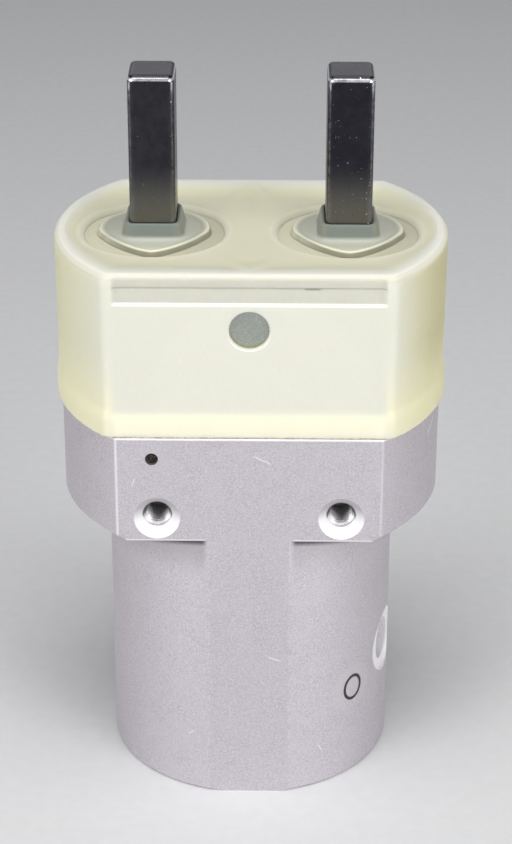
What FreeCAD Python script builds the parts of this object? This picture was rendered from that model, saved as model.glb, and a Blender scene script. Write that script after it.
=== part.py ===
import FreeCAD, Part
import math
import os
import re

import Sketcher

# A small parallel gripper: a double-acting air cylinder in a round housing drives two jaws through
# a cam plate. Millimetres, +Z up, origin at the centre of the housing's bottom face. The fingers
# stand on X, the front flat faces -Y, and the parts are drawn at mid-stroke.

doc = FreeCAD.newDocument("Gripper")

DIMENSIONS = [
    # housing
    ("head_radius", 18.0),
    ("barrel_radius", 13.75),
    ("flat_offset", 13.25),
    ("step_height", 27.7),
    ("head_top", 38.2),
    ("head_chamfer", 0.65),
    ("edge_break", 0.25),
    ("pin_chamfer", 0.04),
    ("flat_edge_round", 0.13),
    ("bore_radius", 9.0),
    ("bore_top", 24.1),
    ("mounting_hole_x", 8.5),
    ("mounting_hole_z", 30.1),
    ("mounting_hole_diameter", 2.5),
    ("mounting_hole_depth", 5.0),
    ("mounting_countersink", 4.2),
    ("vent_x", 8.9),
    ("vent_z", 36.15),
    ("vent_radius", 0.6),
    ("port_radius", 2.1),
    ("port_depth", 4.0),
    ("port_face_radius", 3.25),
    ("port_face_depth", 0.35),
    ("port_passage_radius", 1.0),
    ("rod_opening_gap", 0.15),
    ("lower_port_z", 11.7),
    ("upper_port_z", 22.9),
    # bottom closure
    ("ring_groove_low", 0.7),
    ("ring_groove_high", 1.7),
    ("ring_groove_radius", 9.9),
    ("cap_top", 9.9),
    ("cap_radius", 8.97),
    ("cap_oring_section", 0.8),
    ("cap_oring_z", 6.2),
    ("oring_groove_gap", 0.2),
    ("cap_chamfer", 0.5),
    ("cap_hollow_radius", 5.0),
    ("cap_hollow_mouth", 5.6),
    ("cap_hollow_depth", 0.8),
    ("snap_ring_play", 0.1),
    ("snap_ring_reach", 0.7),
    ("lug_x", 1.9),
    ("lug_y", 7.6),
    ("lug_radius", 1.2),
    ("plier_hole_y", 7.5),
    ("plier_hole_radius", 0.5),
    ("split_half", 0.6),
    # rod, its bush and its seal
    ("rod_radius", 4.0),
    ("rod_top", 41.6),
    ("rod_slot_bottom", 37.3),
    ("bush_radius", 5.5),
    ("bush_low", 27.2),
    ("bush_top", 35.0),
    ("rod_seal_radius", 6.2),
    ("rod_seal_low", 24.7),
    ("rod_seal_high", 26.7),
    ("running_gap", 0.03),
    ("end_gap", 0.1),
    ("small_chamfer", 0.3),
    ("rod_chamfer", 0.4),
    # piston, at mid-stroke
    ("piston_radius", 8.92),
    ("piston_low", 13.5),
    ("piston_high", 20.5),
    ("seal_low", 14.4),
    ("seal_high", 16.2),
    ("wear_ring_low", 16.8),
    ("wear_ring_high", 18.0),
    ("groove_floor_radius", 7.2),
    ("lip_thickness", 0.3),
    ("waist_depth", 0.5),
    ("wear_ring_floor_radius", 8.0),
    ("wear_ring_play", 0.05),
    ("magnet_low", 18.6),
    ("magnet_inner_radius", 6.3),
    ("magnet_outer_radius", 8.6),
    ("bumper_thickness", 1.2),
    ("bumper_radius", 7.0),
    ("bumper_play", 0.05),
    ("spigot_radius", 2.5),
    ("screw_seat", 15.3),
    ("screw_head_radius", 2.75),
    ("screw_head_play", 0.25),
    ("screw_head_gap", 0.2),
    ("screw_head_chamfer", 0.2),
    ("screw_shank_radius", 1.25),
    ("piston_screw_length", 4.0),
    ("piston_screw_socket", 1.4),
    ("socket_share", 0.6),
    ("tapped_end", 0.4),
    # cam plate: slots that slope by slot_run for each slot_rise
    ("plate_half", 2.0),
    ("plate_bottom", 40.2),
    ("plate_top", 49.65),
    ("plate_reach", 11.2),
    ("tongue_half", 3.4),
    ("tongue_bottom", 37.5),
    ("cross_pin_z", 39.6),
    ("cross_pin_radius", 1.0),
    ("slot_half_run", 1.5),
    ("slot_half_rise", 2.25),
    ("slot_clearance", 0.05),
    ("fork_gap", 0.02),
    ("cross_pin_gap", 0.4),
    ("plate_wall", 2.7),
    ("notch_bottom", 46.4),
    # jaws
    ("finger_x", 9.0),
    ("finger_half_wide", 2.12),
    ("finger_half_deep", 2.6),
    ("finger_top", 69.0),
    ("finger_edge", 0.6),
    ("jaw_pin_x", 7.0),
    ("jaw_pin_z", 45.0),
    ("jaw_pin_radius", 1.5),
    ("jaw_pin_gap", 0.1),
    ("jaw_inner", 3.9),
    ("jaw_outer", 14.2),
    ("flange_half", 5.5),
    ("flange_low", 42.0),
    ("flange_high", 46.5),
    ("neck_half", 3.6),
    ("neck_top", 52.4),
    ("slit_half", 2.1),
    ("slit_clearance", 0.3),
    ("slit_mouth", 6.6),
    # jaw guide
    ("guide_radius", 17.0),
    ("guide_flat", 11.7),
    ("guide_top", 52.6),
    ("slide_gap", 0.05),
    ("plate_slot_half", 2.3),
    ("plate_slot_reach", 12.0),
    ("plate_slot_floor", 35.2),
    ("rod_passage", 5.0),
    ("guide_pin_z", 48.75),
    ("guide_pin_radius", 1.9),
    ("guide_pin_half_length", 12.35),
    ("screw_x", 12.3),
    ("screw_y", 7.6),
    ("screw_low", 33.2),
    ("screw_head_low", 50.1),
    ("cap_screw_radius", 2.25),
    ("cap_screw_head", 2.2),
    ("cap_screw_play", 0.1),
    ("cap_screw_gap", 0.3),
    ("socket_radius", 1.15),
    ("dowel_y", 8.6),
    ("dowel_radius", 1.25),
    ("dowel_low", 34.4),
    ("dowel_high", 41.6),
    # boot
    ("boot_radius", 18.2),
    ("boot_flat", 12.85),
    ("boot_top", 54.0),
    ("boot_wall", 1.1),
    ("boot_edge", 0.8),
    ("hem_height", 3.0),
    ("hem_bulge", 0.25),
    ("boot_pin_hole", 2.0),
    ("collar_half_wide", 2.75),
    ("collar_half_deep", 3.2),
    ("collar_top", 55.3),
    ("collar_travel", 1.5),
    ("collar_gap", 0.3),
    ("collar_lift", 0.05),
    # vent plug
    ("vent_plug_length", 2.0),
    ("vent_plug_depth", 0.4),
    ("vent_overrun", 0.5),
    # how far a cut reaches past the material that it goes through
    ("overrun", 1.0),
]

COUNTERSINK_ANGLE = 90
LOWER_PORT_ANGLE = -15
NEAR = 0.01            # millimetres within which an edge counts as lying on a plane
SMALLEST_CUT = 0.01    # cubic millimetres that every cut has to take away at least

sheet = doc.addObject("Spreadsheet::Sheet", "Dims")
for row, (alias, value) in enumerate(DIMENSIONS, start=1):
    sheet.set(f"A{row}", alias)
    sheet.set(f"B{row}", str(value))
    sheet.setAlias(f"B{row}", alias)
doc.recompute()
ALIASES = {alias for alias, _ in DIMENSIONS}


# ---- helpers -------------------------------------------------------------------------------------


def formula(text):
    """Turns the names of sheet cells in a formula into references to the sheet."""
    return re.sub(r"[a-z_]+", lambda m: "Dims." + m.group() if m.group() in ALIASES else m.group(), str(text))


def size(text):
    """The number that a formula stands for now."""
    return float(sheet.evalExpression(formula(text)))


def bind(obj, prop, text):
    obj.setExpression(prop, formula(text))


def place(obj, x="0", y="0", z="0", axis=(0, 0, 1), angle=0.0):
    """Gives an object its Placement, with a position bound to the sheet."""
    obj.Placement = FreeCAD.Placement(FreeCAD.Vector(), FreeCAD.Rotation(FreeCAD.Vector(*axis), angle))
    for letter, text in zip("xyz", (x, y, z)):
        bind(obj, f"Placement.Base.{letter}", text)


def new_body(label):
    body = doc.addObject("PartDesign::Body", label)
    body.Label = label
    return body


def new_sketch(body, plane="XZ_Plane", offset="0"):
    """A sketch on one of the body's own origin planes, moved along that plane's normal."""
    sketch = body.newObject("Sketcher::SketchObject", body.Name + "_sketch")
    support = next(f for f in body.Origin.OriginFeatures if f.Role == plane)
    sketch.AttachmentSupport = (support, [""])
    sketch.MapMode = "FlatFace"
    bind(sketch, "AttachmentOffset.Base.z", offset)
    return sketch


def fix_point(sketch, geometry, point, x, y):
    """Holds a point at x, y, which are formulas; a zero puts it on the sketch's own axis."""
    for kind, text, axis in (("DistanceX", x, -2), ("DistanceY", y, -1)):
        if size(text) == 0:
            sketch.addConstraint(Sketcher.Constraint("PointOnObject", geometry, point, axis))
            continue
        index = sketch.addConstraint(Sketcher.Constraint(kind, -1, 1, geometry, point, size(text)))
        bind(sketch, f"Constraints[{index}]", text)


def fix_radius(sketch, geometry, radius):
    index = sketch.addConstraint(Sketcher.Constraint("Radius", geometry, size(radius)))
    bind(sketch, f"Constraints[{index}]", radius)


def draw_outline(sketch, points):
    """A closed outline of straight edges through points given as pairs of formulas."""
    first = sketch.GeometryCount
    corners = [FreeCAD.Vector(size(x), size(y), 0) for x, y in points]
    for here, there in zip(corners, corners[1:] + corners[:1]):
        sketch.addGeometry(Part.LineSegment(here, there), False)
    for i, (x, y) in enumerate(points):
        after = first + (i + 1) % len(points)
        sketch.addConstraint(Sketcher.Constraint("Coincident", first + i, 2, after, 1))
        fix_point(sketch, first + i, 1, x, y)


def draw_box(sketch, low_x, low_y, high_x, high_y):
    draw_outline(sketch, [(low_x, low_y), (high_x, low_y), (high_x, high_y), (low_x, high_y)])


def draw_circle(sketch, x, y, radius):
    circle = Part.Circle(FreeCAD.Vector(size(x), size(y), 0), FreeCAD.Vector(0, 0, 1), size(radius))
    index = sketch.addGeometry(circle, False)
    fix_point(sketch, index, 3, x, y)
    fix_radius(sketch, index, radius)


def draw_arc(sketch, x, y, radius, start, end):
    """An arc about x, y between two angles in radians; returns its index."""
    circle = Part.Circle(FreeCAD.Vector(size(x), size(y), 0), FreeCAD.Vector(0, 0, 1), size(radius))
    return sketch.addGeometry(Part.ArcOfCircle(circle, start, end), False)


def draw_line(sketch, start, end):
    return sketch.addGeometry(Part.LineSegment(start, end), False)


def draw_flatted_disc(sketch, radius, flat):
    """A circle about the origin, cut by two flats at y = -flat and y = +flat."""
    edge = math.asin(size(flat) / size(radius))
    half = size(radius) * math.cos(edge)
    height = size(flat)
    right = draw_arc(sketch, "0", "0", radius, -edge, edge)
    top = draw_line(sketch, FreeCAD.Vector(half, height, 0), FreeCAD.Vector(-half, height, 0))
    left = draw_arc(sketch, "0", "0", radius, math.pi - edge, math.pi + edge)
    bottom = draw_line(sketch, FreeCAD.Vector(-half, -height, 0), FreeCAD.Vector(half, -height, 0))
    for one, other in ((right, top), (top, left), (left, bottom), (bottom, right)):
        sketch.addConstraint(Sketcher.Constraint("Coincident", one, 2, other, 1))
    for arc in (right, left):
        sketch.addConstraint(Sketcher.Constraint("Coincident", arc, 3, -1, 1))
        fix_radius(sketch, arc, radius)
    for line, text in ((top, flat), (bottom, f"-({flat})")):
        sketch.addConstraint(Sketcher.Constraint("Horizontal", line))
        index = sketch.addConstraint(Sketcher.Constraint("DistanceY", -1, 1, line, 1, size(text)))
        bind(sketch, f"Constraints[{index}]", text)


def draw_slot(sketch, x1, y1, x2, y2, radius):
    """A slot with round ends about x1, y1 and x2, y2."""
    start = FreeCAD.Vector(size(x1), size(y1), 0)
    end = FreeCAD.Vector(size(x2), size(y2), 0)
    along = (end - start).normalize()
    side = FreeCAD.Vector(-along.y, along.x, 0) * size(radius)
    angle = math.atan2(along.y, along.x)
    near = draw_arc(sketch, x1, y1, radius, angle + math.pi / 2, angle + 3 * math.pi / 2)
    lower = draw_line(sketch, start - side, end - side)
    far = draw_arc(sketch, x2, y2, radius, angle - math.pi / 2, angle + math.pi / 2)
    upper = draw_line(sketch, end + side, start + side)
    for one, other in ((near, lower), (lower, far), (far, upper), (upper, near)):
        sketch.addConstraint(Sketcher.Constraint("Tangent", one, 2, other, 1))
    fix_point(sketch, near, 3, x1, y1)
    fix_point(sketch, far, 3, x2, y2)
    fix_radius(sketch, near, radius)


def revolve(body, sketch, kind="Revolution"):
    """Turns a sketch on the XZ plane about Z, to add (Revolution) or to cut (Groove)."""
    feature = body.newObject("PartDesign::" + kind, f"{body.Name}_{kind.lower()}")
    feature.Profile = sketch
    feature.ReferenceAxis = (sketch, ["V_Axis"])
    feature.Angle = 360
    body.Tip = feature
    doc.recompute()
    return feature


def extrude(body, sketch, length, kind="Pad", symmetric=False, reverse=False):
    """Pads or pockets a sketch; a symmetric one reaches half its length each way."""
    feature = body.newObject("PartDesign::" + kind, f"{body.Name}_{kind.lower()}")
    feature.Profile = sketch
    feature.SideType = "Symmetric" if symmetric else "One side"
    feature.Reversed = reverse
    bind(feature, "Length", length)
    body.Tip = feature
    doc.recompute()
    return feature


def mirror(body, feature, plane):
    mirrored = body.newObject("PartDesign::Mirrored", f"{body.Name}_mirrored")
    mirrored.Originals = [feature]
    mirrored.MirrorPlane = (next(f for f in body.Origin.OriginFeatures if f.Role == plane), [""])
    body.Tip = mirrored
    doc.recompute()


def fillet(body, radius, chosen):
    """Rounds the edges of the body for which chosen(edge) is true."""
    base = body.Tip
    names = [f"Edge{i}" for i, edge in enumerate(base.Shape.Edges, start=1) if chosen(edge)]
    feature = body.newObject("PartDesign::Fillet", f"{body.Name}_fillet")
    feature.Base = (base, names)
    bind(feature, "Radius", radius)
    body.Tip = feature
    doc.recompute()


def turned(label, points):
    """A body turned about Z from an outline of radius and height pairs."""
    body = new_body(label)
    sketch = new_sketch(body)
    draw_outline(sketch, points)
    revolve(body, sketch)
    return body


def ring(label, inner, outer, low, high):
    return turned(label, [(inner, low), (outer, low), (outer, high), (inner, high)])


def cross_pin(label, radius, half_length, x, z):
    """A pin along Y with a small chamfer at each end."""
    tip = f"{radius} - pin_chamfer"
    shoulder = f"{half_length} - pin_chamfer"
    points = [
        ("0", f"-({half_length})"),
        (tip, f"-({half_length})"),
        (radius, f"-({shoulder})"),
        (radius, shoulder),
        (tip, half_length),
        ("0", half_length),
    ]
    body = turned(label, points)
    place(body, x=x, z=z, axis=(1, 0, 0), angle=90)
    return body


def group(label, members):
    """Several like pieces as one sub-part."""
    compound = doc.addObject("Part::Compound", label)
    compound.Label = label
    compound.Links = members
    return compound


def cylinder(name, radius, height):
    solid = doc.addObject("Part::Cylinder", name)
    bind(solid, "Radius", radius)
    bind(solid, "Height", height)
    return solid


# ---- housing -------------------------------------------------------------------------------------


def air_port(name, angle, z):
    """The tool that cuts one radial port: spotface, tapped bore and passage into the cylinder."""
    tools = []
    stages = (
        ("face", "port_face_radius", "port_face_depth"),
        ("bore", "port_radius", "port_depth"),
        ("passage", "port_passage_radius", "barrel_radius - bore_radius + overrun"),
    )
    direction = FreeCAD.Vector(math.cos(math.radians(angle)), math.sin(math.radians(angle)), 0)
    for stage, radius, depth in stages:
        # each tool starts outside the barrel and reaches its depth below the barrel's skin
        tool = cylinder(f"{name}_{stage}", radius, f"{depth} + 2 * overrun")
        turn = FreeCAD.Rotation(FreeCAD.Vector(0, 0, 1), -direction)
        tool.Placement = FreeCAD.Placement(FreeCAD.Vector(), turn)
        bind(tool, "Placement.Base.x", f"(barrel_radius + 2 * overrun) * {direction.x:.6f}")
        bind(tool, "Placement.Base.y", f"(barrel_radius + 2 * overrun) * {direction.y:.6f}")
        bind(tool, "Placement.Base.z", z)
        tools.append(tool)
    return tools


def make_housing():
    body = new_body("housing_body")
    sketch = new_sketch(body)
    draw_outline(
        sketch,
        [
            ("bore_radius", "0"),
            ("barrel_radius - edge_break", "0"),
            ("barrel_radius", "edge_break"),
            ("barrel_radius", "step_height"),
            ("head_radius - head_chamfer", "step_height"),
            ("head_radius", "step_height + head_chamfer"),
            ("head_radius", "head_top"),
            ("bush_radius", "head_top"),
            ("bush_radius", "bush_low"),
            ("rod_radius + rod_opening_gap", "bush_low"),
            ("rod_radius + rod_opening_gap", "rod_seal_high"),
            ("rod_seal_radius", "rod_seal_high"),
            ("rod_seal_radius", "rod_seal_low"),
            ("rod_radius + rod_opening_gap", "rod_seal_low"),
            ("rod_radius + rod_opening_gap", "bore_top"),
            ("bore_radius", "bore_top"),
            ("bore_radius", "ring_groove_high"),
            ("ring_groove_radius", "ring_groove_high"),
            ("ring_groove_radius", "ring_groove_low"),
            ("bore_radius", "ring_groove_low"),
        ],
    )
    revolve(body, sketch)

    flats = new_sketch(body, "XY_Plane")
    draw_box(flats, "-head_radius", "flat_offset", "head_radius", "head_radius + overrun")
    draw_box(flats, "-head_radius", "-head_radius - overrun", "head_radius", "-flat_offset")
    extrude(body, flats, "head_top", "Pocket", reverse=True)

    # every edge of the flats is slightly rounded, except at the bottom, where the turned chamfer is
    flat = size("flat_offset")
    chamfer_top = size("edge_break")
    fillet(
        body,
        "flat_edge_round",
        lambda edge: abs(abs(edge.BoundBox.YMin) - flat) < NEAR
        and edge.BoundBox.YLength < NEAR
        and edge.BoundBox.ZMax > chamfer_top + NEAR,
    )

    plate_slot = new_sketch(body, "XY_Plane", "head_top")
    draw_box(plate_slot, "-plate_slot_reach", "-plate_slot_half", "plate_slot_reach", "plate_slot_half")
    extrude(body, plate_slot, "head_top - plate_slot_floor", "Pocket")

    screw_holes = new_sketch(body, "XY_Plane", "head_top")
    for x in ("screw_x", "-screw_x"):
        for y in ("screw_y", "-screw_y"):
            draw_circle(screw_holes, x, y, "screw_shank_radius")
    extrude(body, screw_holes, "head_top - screw_low", "Pocket")

    dowel_holes = new_sketch(body, "XY_Plane", "head_top")
    for y in ("dowel_y", "-dowel_y"):
        draw_circle(dowel_holes, "0", y, "dowel_radius")
    extrude(body, dowel_holes, "head_top - dowel_low", "Pocket")

    # the vent runs from the front flat back into the plate's slot
    vent = new_sketch(body, "XZ_Plane", "flat_offset")
    draw_circle(vent, "-vent_x", "vent_z", "vent_radius")
    extrude(body, vent, "flat_offset - plate_slot_half + vent_overrun", "Pocket")

    centres = new_sketch(body, "XZ_Plane", "flat_offset")
    for x in ("mounting_hole_x", "-mounting_hole_x"):
        draw_circle(centres, x, "mounting_hole_z", "mounting_hole_diameter / 2")
    doc.recompute()
    holes = body.newObject("PartDesign::Hole", "mounting_holes")
    holes.Profile = centres
    holes.DepthType = "Dimension"
    holes.DrillPoint = "Angled"
    holes.HoleCutType = "Countersink"
    holes.HoleCutCountersinkAngle = COUNTERSINK_ANGLE
    bind(holes, "Diameter", "mounting_hole_diameter")
    bind(holes, "Depth", "mounting_hole_depth")
    bind(holes, "HoleCutDiameter", "mounting_countersink")
    body.Tip = holes
    doc.recompute()
    mirror(body, holes, "XZ_Plane")

    ports = doc.addObject("Part::MultiFuse", "port_tools")
    lower = air_port("lower_port", LOWER_PORT_ANGLE, "lower_port_z")
    upper = air_port("upper_port", LOWER_PORT_ANGLE + 180, "upper_port_z")
    ports.Shapes = lower + upper
    housing = doc.addObject("Part::Cut", "housing")
    housing.Label = "housing"
    housing.Base = body
    housing.Tool = ports
    return housing


def make_end_cap():
    floor = "bore_radius - 2 * cap_oring_section"
    half = "(cap_oring_section + oring_groove_gap)"
    return turned(
        "end_cap",
        [
            ("0", "ring_groove_high + cap_hollow_depth"),
            ("cap_hollow_radius", "ring_groove_high + cap_hollow_depth"),
            ("cap_hollow_mouth", "ring_groove_high"),
            ("cap_radius", "ring_groove_high"),
            ("cap_radius", f"cap_oring_z - {half}"),
            (floor, f"cap_oring_z - {half}"),
            (floor, f"cap_oring_z + {half}"),
            ("cap_radius", f"cap_oring_z + {half}"),
            ("cap_radius", "cap_top - cap_chamfer"),
            ("cap_radius - cap_chamfer", "cap_top"),
            ("0", "cap_top"),
        ],
    )


def make_end_cap_oring():
    oring = doc.addObject("Part::Torus", "end_cap_oring")
    oring.Label = "end_cap_oring"
    bind(oring, "Radius1", "bore_radius - cap_oring_section")
    bind(oring, "Radius2", "cap_oring_section")
    place(oring, z="cap_oring_z")
    return oring


def make_snap_ring():
    """An internal retaining ring: a split ring with a lug and a plier hole each side of the split."""
    body = new_body("snap_ring")
    thickness = "ring_groove_high - ring_groove_low - snap_ring_play"
    blank = new_sketch(body, "XY_Plane")
    draw_circle(blank, "0", "0", "ring_groove_radius - snap_ring_play")
    draw_circle(blank, "0", "0", "bore_radius - snap_ring_reach")
    extrude(body, blank, thickness)
    lugs = new_sketch(body, "XY_Plane")
    for x in ("lug_x", "-lug_x"):
        draw_circle(lugs, x, "lug_y", "lug_radius")
    extrude(body, lugs, thickness)
    split = new_sketch(body, "XY_Plane")
    draw_box(split, "-split_half", "cap_hollow_radius", "split_half", "ring_groove_radius + overrun")
    for x in ("lug_x", "-lug_x"):
        draw_circle(split, x, "plier_hole_y", "plier_hole_radius")
    extrude(body, split, "ring_groove_high", "Pocket", reverse=True)
    place(body, z="ring_groove_low + snap_ring_play / 2")
    return body


# ---- piston and rod ------------------------------------------------------------------------------


def make_piston():
    return turned(
        "piston",
        [
            ("spigot_radius", "screw_seat"),
            ("screw_head_radius + screw_head_play", "screw_seat"),
            ("screw_head_radius + screw_head_play", "piston_low"),
            ("piston_radius - small_chamfer", "piston_low"),
            ("piston_radius", "piston_low + small_chamfer"),
            ("piston_radius", "seal_low"),
            ("groove_floor_radius", "seal_low"),
            ("groove_floor_radius", "seal_high"),
            ("piston_radius", "seal_high"),
            ("piston_radius", "wear_ring_low"),
            ("wear_ring_floor_radius", "wear_ring_low"),
            ("wear_ring_floor_radius", "wear_ring_high"),
            ("piston_radius", "wear_ring_high"),
            ("piston_radius", "magnet_low"),
            ("magnet_inner_radius", "magnet_low"),
            ("magnet_inner_radius", "piston_high"),
            ("spigot_radius", "piston_high"),
        ],
    )


def make_piston_seal():
    """A lip seal whose outer face is waisted, so that two lips reach towards the bore."""
    lip = "bore_radius - running_gap"
    return turned(
        "piston_seal",
        [
            ("groove_floor_radius", "seal_low + end_gap"),
            (lip, "seal_low + end_gap"),
            (lip, "seal_low + end_gap + lip_thickness"),
            ("bore_radius - waist_depth", "(seal_low + seal_high) / 2"),
            (lip, "seal_high - end_gap - lip_thickness"),
            (lip, "seal_high - end_gap"),
            ("groove_floor_radius", "seal_high - end_gap"),
        ],
    )


def make_piston_bumpers():
    """Two rubber washers, one under the piston and one on top of it, over the magnet."""
    lower = ring(
        "lower_bumper",
        "screw_head_radius + screw_head_play + 3 * bumper_play",
        "bumper_radius",
        "piston_low - bumper_thickness",
        "piston_low",
    )
    upper = ring(
        "upper_bumper",
        "rod_radius + bumper_play",
        "bumper_radius",
        "piston_high",
        "piston_high + bumper_thickness",
    )
    return group("piston_bumpers", [lower, upper])


def hexagon(radius):
    """The six corners of a hexagon about the origin, as formulas."""
    turns = [math.radians(60 * i + 30) for i in range(6)]
    return [(f"{radius} * {math.cos(t):.6f}", f"{radius} * {math.sin(t):.6f}") for t in turns]


def cap_screw(label, head_radius, head_height, length, socket):
    """A cap screw hanging down from the underside of its head, which is at z = 0."""
    body = turned(
        label,
        [
            ("0", f"-({length})"),
            ("screw_shank_radius - small_chamfer", f"-({length})"),
            ("screw_shank_radius", f"-({length}) + small_chamfer"),
            ("screw_shank_radius", "0"),
            (head_radius, "0"),
            (head_radius, f"{head_height} - screw_head_chamfer"),
            (f"{head_radius} - screw_head_chamfer", head_height),
            ("0", head_height),
        ],
    )
    sketch = new_sketch(body, "XY_Plane", head_height)
    draw_outline(sketch, hexagon(socket))
    extrude(body, sketch, f"({head_height}) * socket_share", "Pocket")
    return body


def make_piston_screw():
    """The screw that clamps the rod's spigot into the piston, head down."""
    head_height = "screw_seat - piston_low - screw_head_gap"
    body = cap_screw(
        "piston_screw", "screw_head_radius", head_height, "piston_screw_length", "piston_screw_socket"
    )
    place(body, z="screw_seat", axis=(1, 0, 0), angle=180)
    return body


def make_piston_rod():
    body = turned(
        "piston_rod",
        [
            ("0", "screw_seat + piston_screw_length + tapped_end"),
            ("screw_shank_radius", "screw_seat + piston_screw_length"),
            ("screw_shank_radius", "screw_seat"),
            ("spigot_radius", "screw_seat"),
            ("spigot_radius", "piston_high"),
            ("rod_radius", "piston_high"),
            ("rod_radius", "rod_top - rod_chamfer"),
            ("rod_radius - rod_chamfer", "rod_top"),
            ("0", "rod_top"),
        ],
    )
    fork = new_sketch(body)
    draw_box(fork, "-rod_radius - overrun", "rod_slot_bottom", "rod_radius + overrun", "rod_top + overrun")
    extrude(body, fork, "2 * (plate_half + fork_gap)", "Pocket", symmetric=True)
    eye = new_sketch(body)
    draw_circle(eye, "0", "cross_pin_z", "cross_pin_radius")
    extrude(body, eye, "2 * (rod_radius + overrun)", "Pocket", symmetric=True)
    return body


# ---- cam plate -----------------------------------------------------------------------------------

# A slot's direction is (slot_half_run, -slot_half_rise), so a line parallel to it at a distance d
# on its outer side crosses the height z at
#     x = jaw_pin_x + d * SLANT + (jaw_pin_z - z) * slot_half_run / slot_half_rise
SLANT = "(sqrt(slot_half_run * slot_half_run + slot_half_rise * slot_half_rise) / slot_half_rise)"


def outline_x(distance, z):
    slope = "slot_half_run / slot_half_rise"
    return f"jaw_pin_x + ({distance}) * {SLANT} + (jaw_pin_z - ({z})) * {slope}"


def outline_z(distance, x):
    slope = "slot_half_rise / slot_half_run"
    return f"jaw_pin_z + (jaw_pin_x + ({distance}) * {SLANT} - ({x})) * {slope}"


def make_cam_plate():
    body = new_body("cam_plate")
    blank = new_sketch(body)
    shoulder = outline_x("plate_wall", "plate_top")
    corner = outline_z("plate_wall", "plate_reach")
    draw_outline(
        blank,
        [
            ("tongue_half", "tongue_bottom"),
            ("tongue_half", "plate_bottom"),
            ("plate_reach", "plate_bottom"),
            ("plate_reach", corner),
            (shoulder, "plate_top"),
            (f"-({shoulder})", "plate_top"),
            ("-plate_reach", corner),
            ("-plate_reach", "plate_bottom"),
            ("-tongue_half", "plate_bottom"),
            ("-tongue_half", "tongue_bottom"),
        ],
    )
    extrude(body, blank, "2 * plate_half", symmetric=True)
    cuts = new_sketch(body)
    for side in ("", "-"):
        draw_slot(
            cuts,
            f"{side}(jaw_pin_x - slot_half_run)",
            "jaw_pin_z + slot_half_rise",
            f"{side}(jaw_pin_x + slot_half_run)",
            "jaw_pin_z - slot_half_rise",
            "jaw_pin_radius + slot_clearance",
        )
    draw_slot(cuts, "0", "notch_bottom", "0", "plate_top + 4 * overrun", "guide_pin_radius + slot_clearance")
    draw_circle(cuts, "0", "cross_pin_z", "cross_pin_radius")
    extrude(body, cuts, "2 * (plate_half + overrun)", "Pocket", symmetric=True)
    return body


# ---- jaws ----------------------------------------------------------------------------------------


def make_jaw(label, angle):
    """A jaw in its own frame, with the finger's centre on Z and the gripper's centre at -finger_x."""
    inner = "jaw_inner - finger_x"
    outer = "jaw_outer - finger_x"
    body = new_body(label)
    flange = new_sketch(body, "XY_Plane", "flange_low")
    draw_box(flange, inner, "-flange_half", outer, "flange_half")
    extrude(body, flange, "flange_high - flange_low")
    neck = new_sketch(body, "XY_Plane", "flange_high")
    draw_box(neck, inner, "-neck_half", outer, "neck_half")
    extrude(body, neck, "neck_top - flange_high")
    finger = new_sketch(body, "XY_Plane", "neck_top")
    draw_box(finger, "-finger_half_wide", "-finger_half_deep", "finger_half_wide", "finger_half_deep")
    extrude(body, finger, "finger_top - neck_top")

    # the slit takes the cam plate; it is open above, inward of the finger
    slit = new_sketch(body)
    reach = "plate_wall + slit_clearance"
    draw_outline(
        slit,
        [
            (f"{inner} - overrun", "flange_low - overrun"),
            (outline_x(reach, "flange_low - overrun") + " - finger_x", "flange_low - overrun"),
            ("slit_mouth - finger_x", outline_z(reach, "slit_mouth")),
            ("slit_mouth - finger_x", "neck_top + overrun"),
            (f"{inner} - overrun", "neck_top + overrun"),
        ],
    )
    extrude(body, slit, "2 * slit_half", "Pocket", symmetric=True)
    eye = new_sketch(body)
    draw_circle(eye, "jaw_pin_x - finger_x", "jaw_pin_z", "jaw_pin_radius")
    extrude(body, eye, "2 * (flange_half + overrun)", "Pocket", symmetric=True)

    floor = size("neck_top + overrun")
    fillet(body, "finger_edge", lambda edge: edge.BoundBox.ZMax > floor)
    place(body, x=f"finger_x * {math.cos(math.radians(angle)):.0f}", angle=angle)
    return body


def make_boot_collar(label, side):
    """The sleeve of the boot that grips a finger and moves with it."""
    body = new_body(label)
    section = new_sketch(body, "XY_Plane", "neck_top + collar_lift")
    draw_box(section, "-collar_half_wide", "-collar_half_deep", "collar_half_wide", "collar_half_deep")
    draw_box(section, "-finger_half_wide", "-finger_half_deep", "finger_half_wide", "finger_half_deep")
    extrude(body, section, "collar_top - neck_top - collar_lift")
    place(body, x=f"{side} * finger_x")
    return body


# ---- jaw guide and its fasteners -----------------------------------------------------------------


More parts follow.
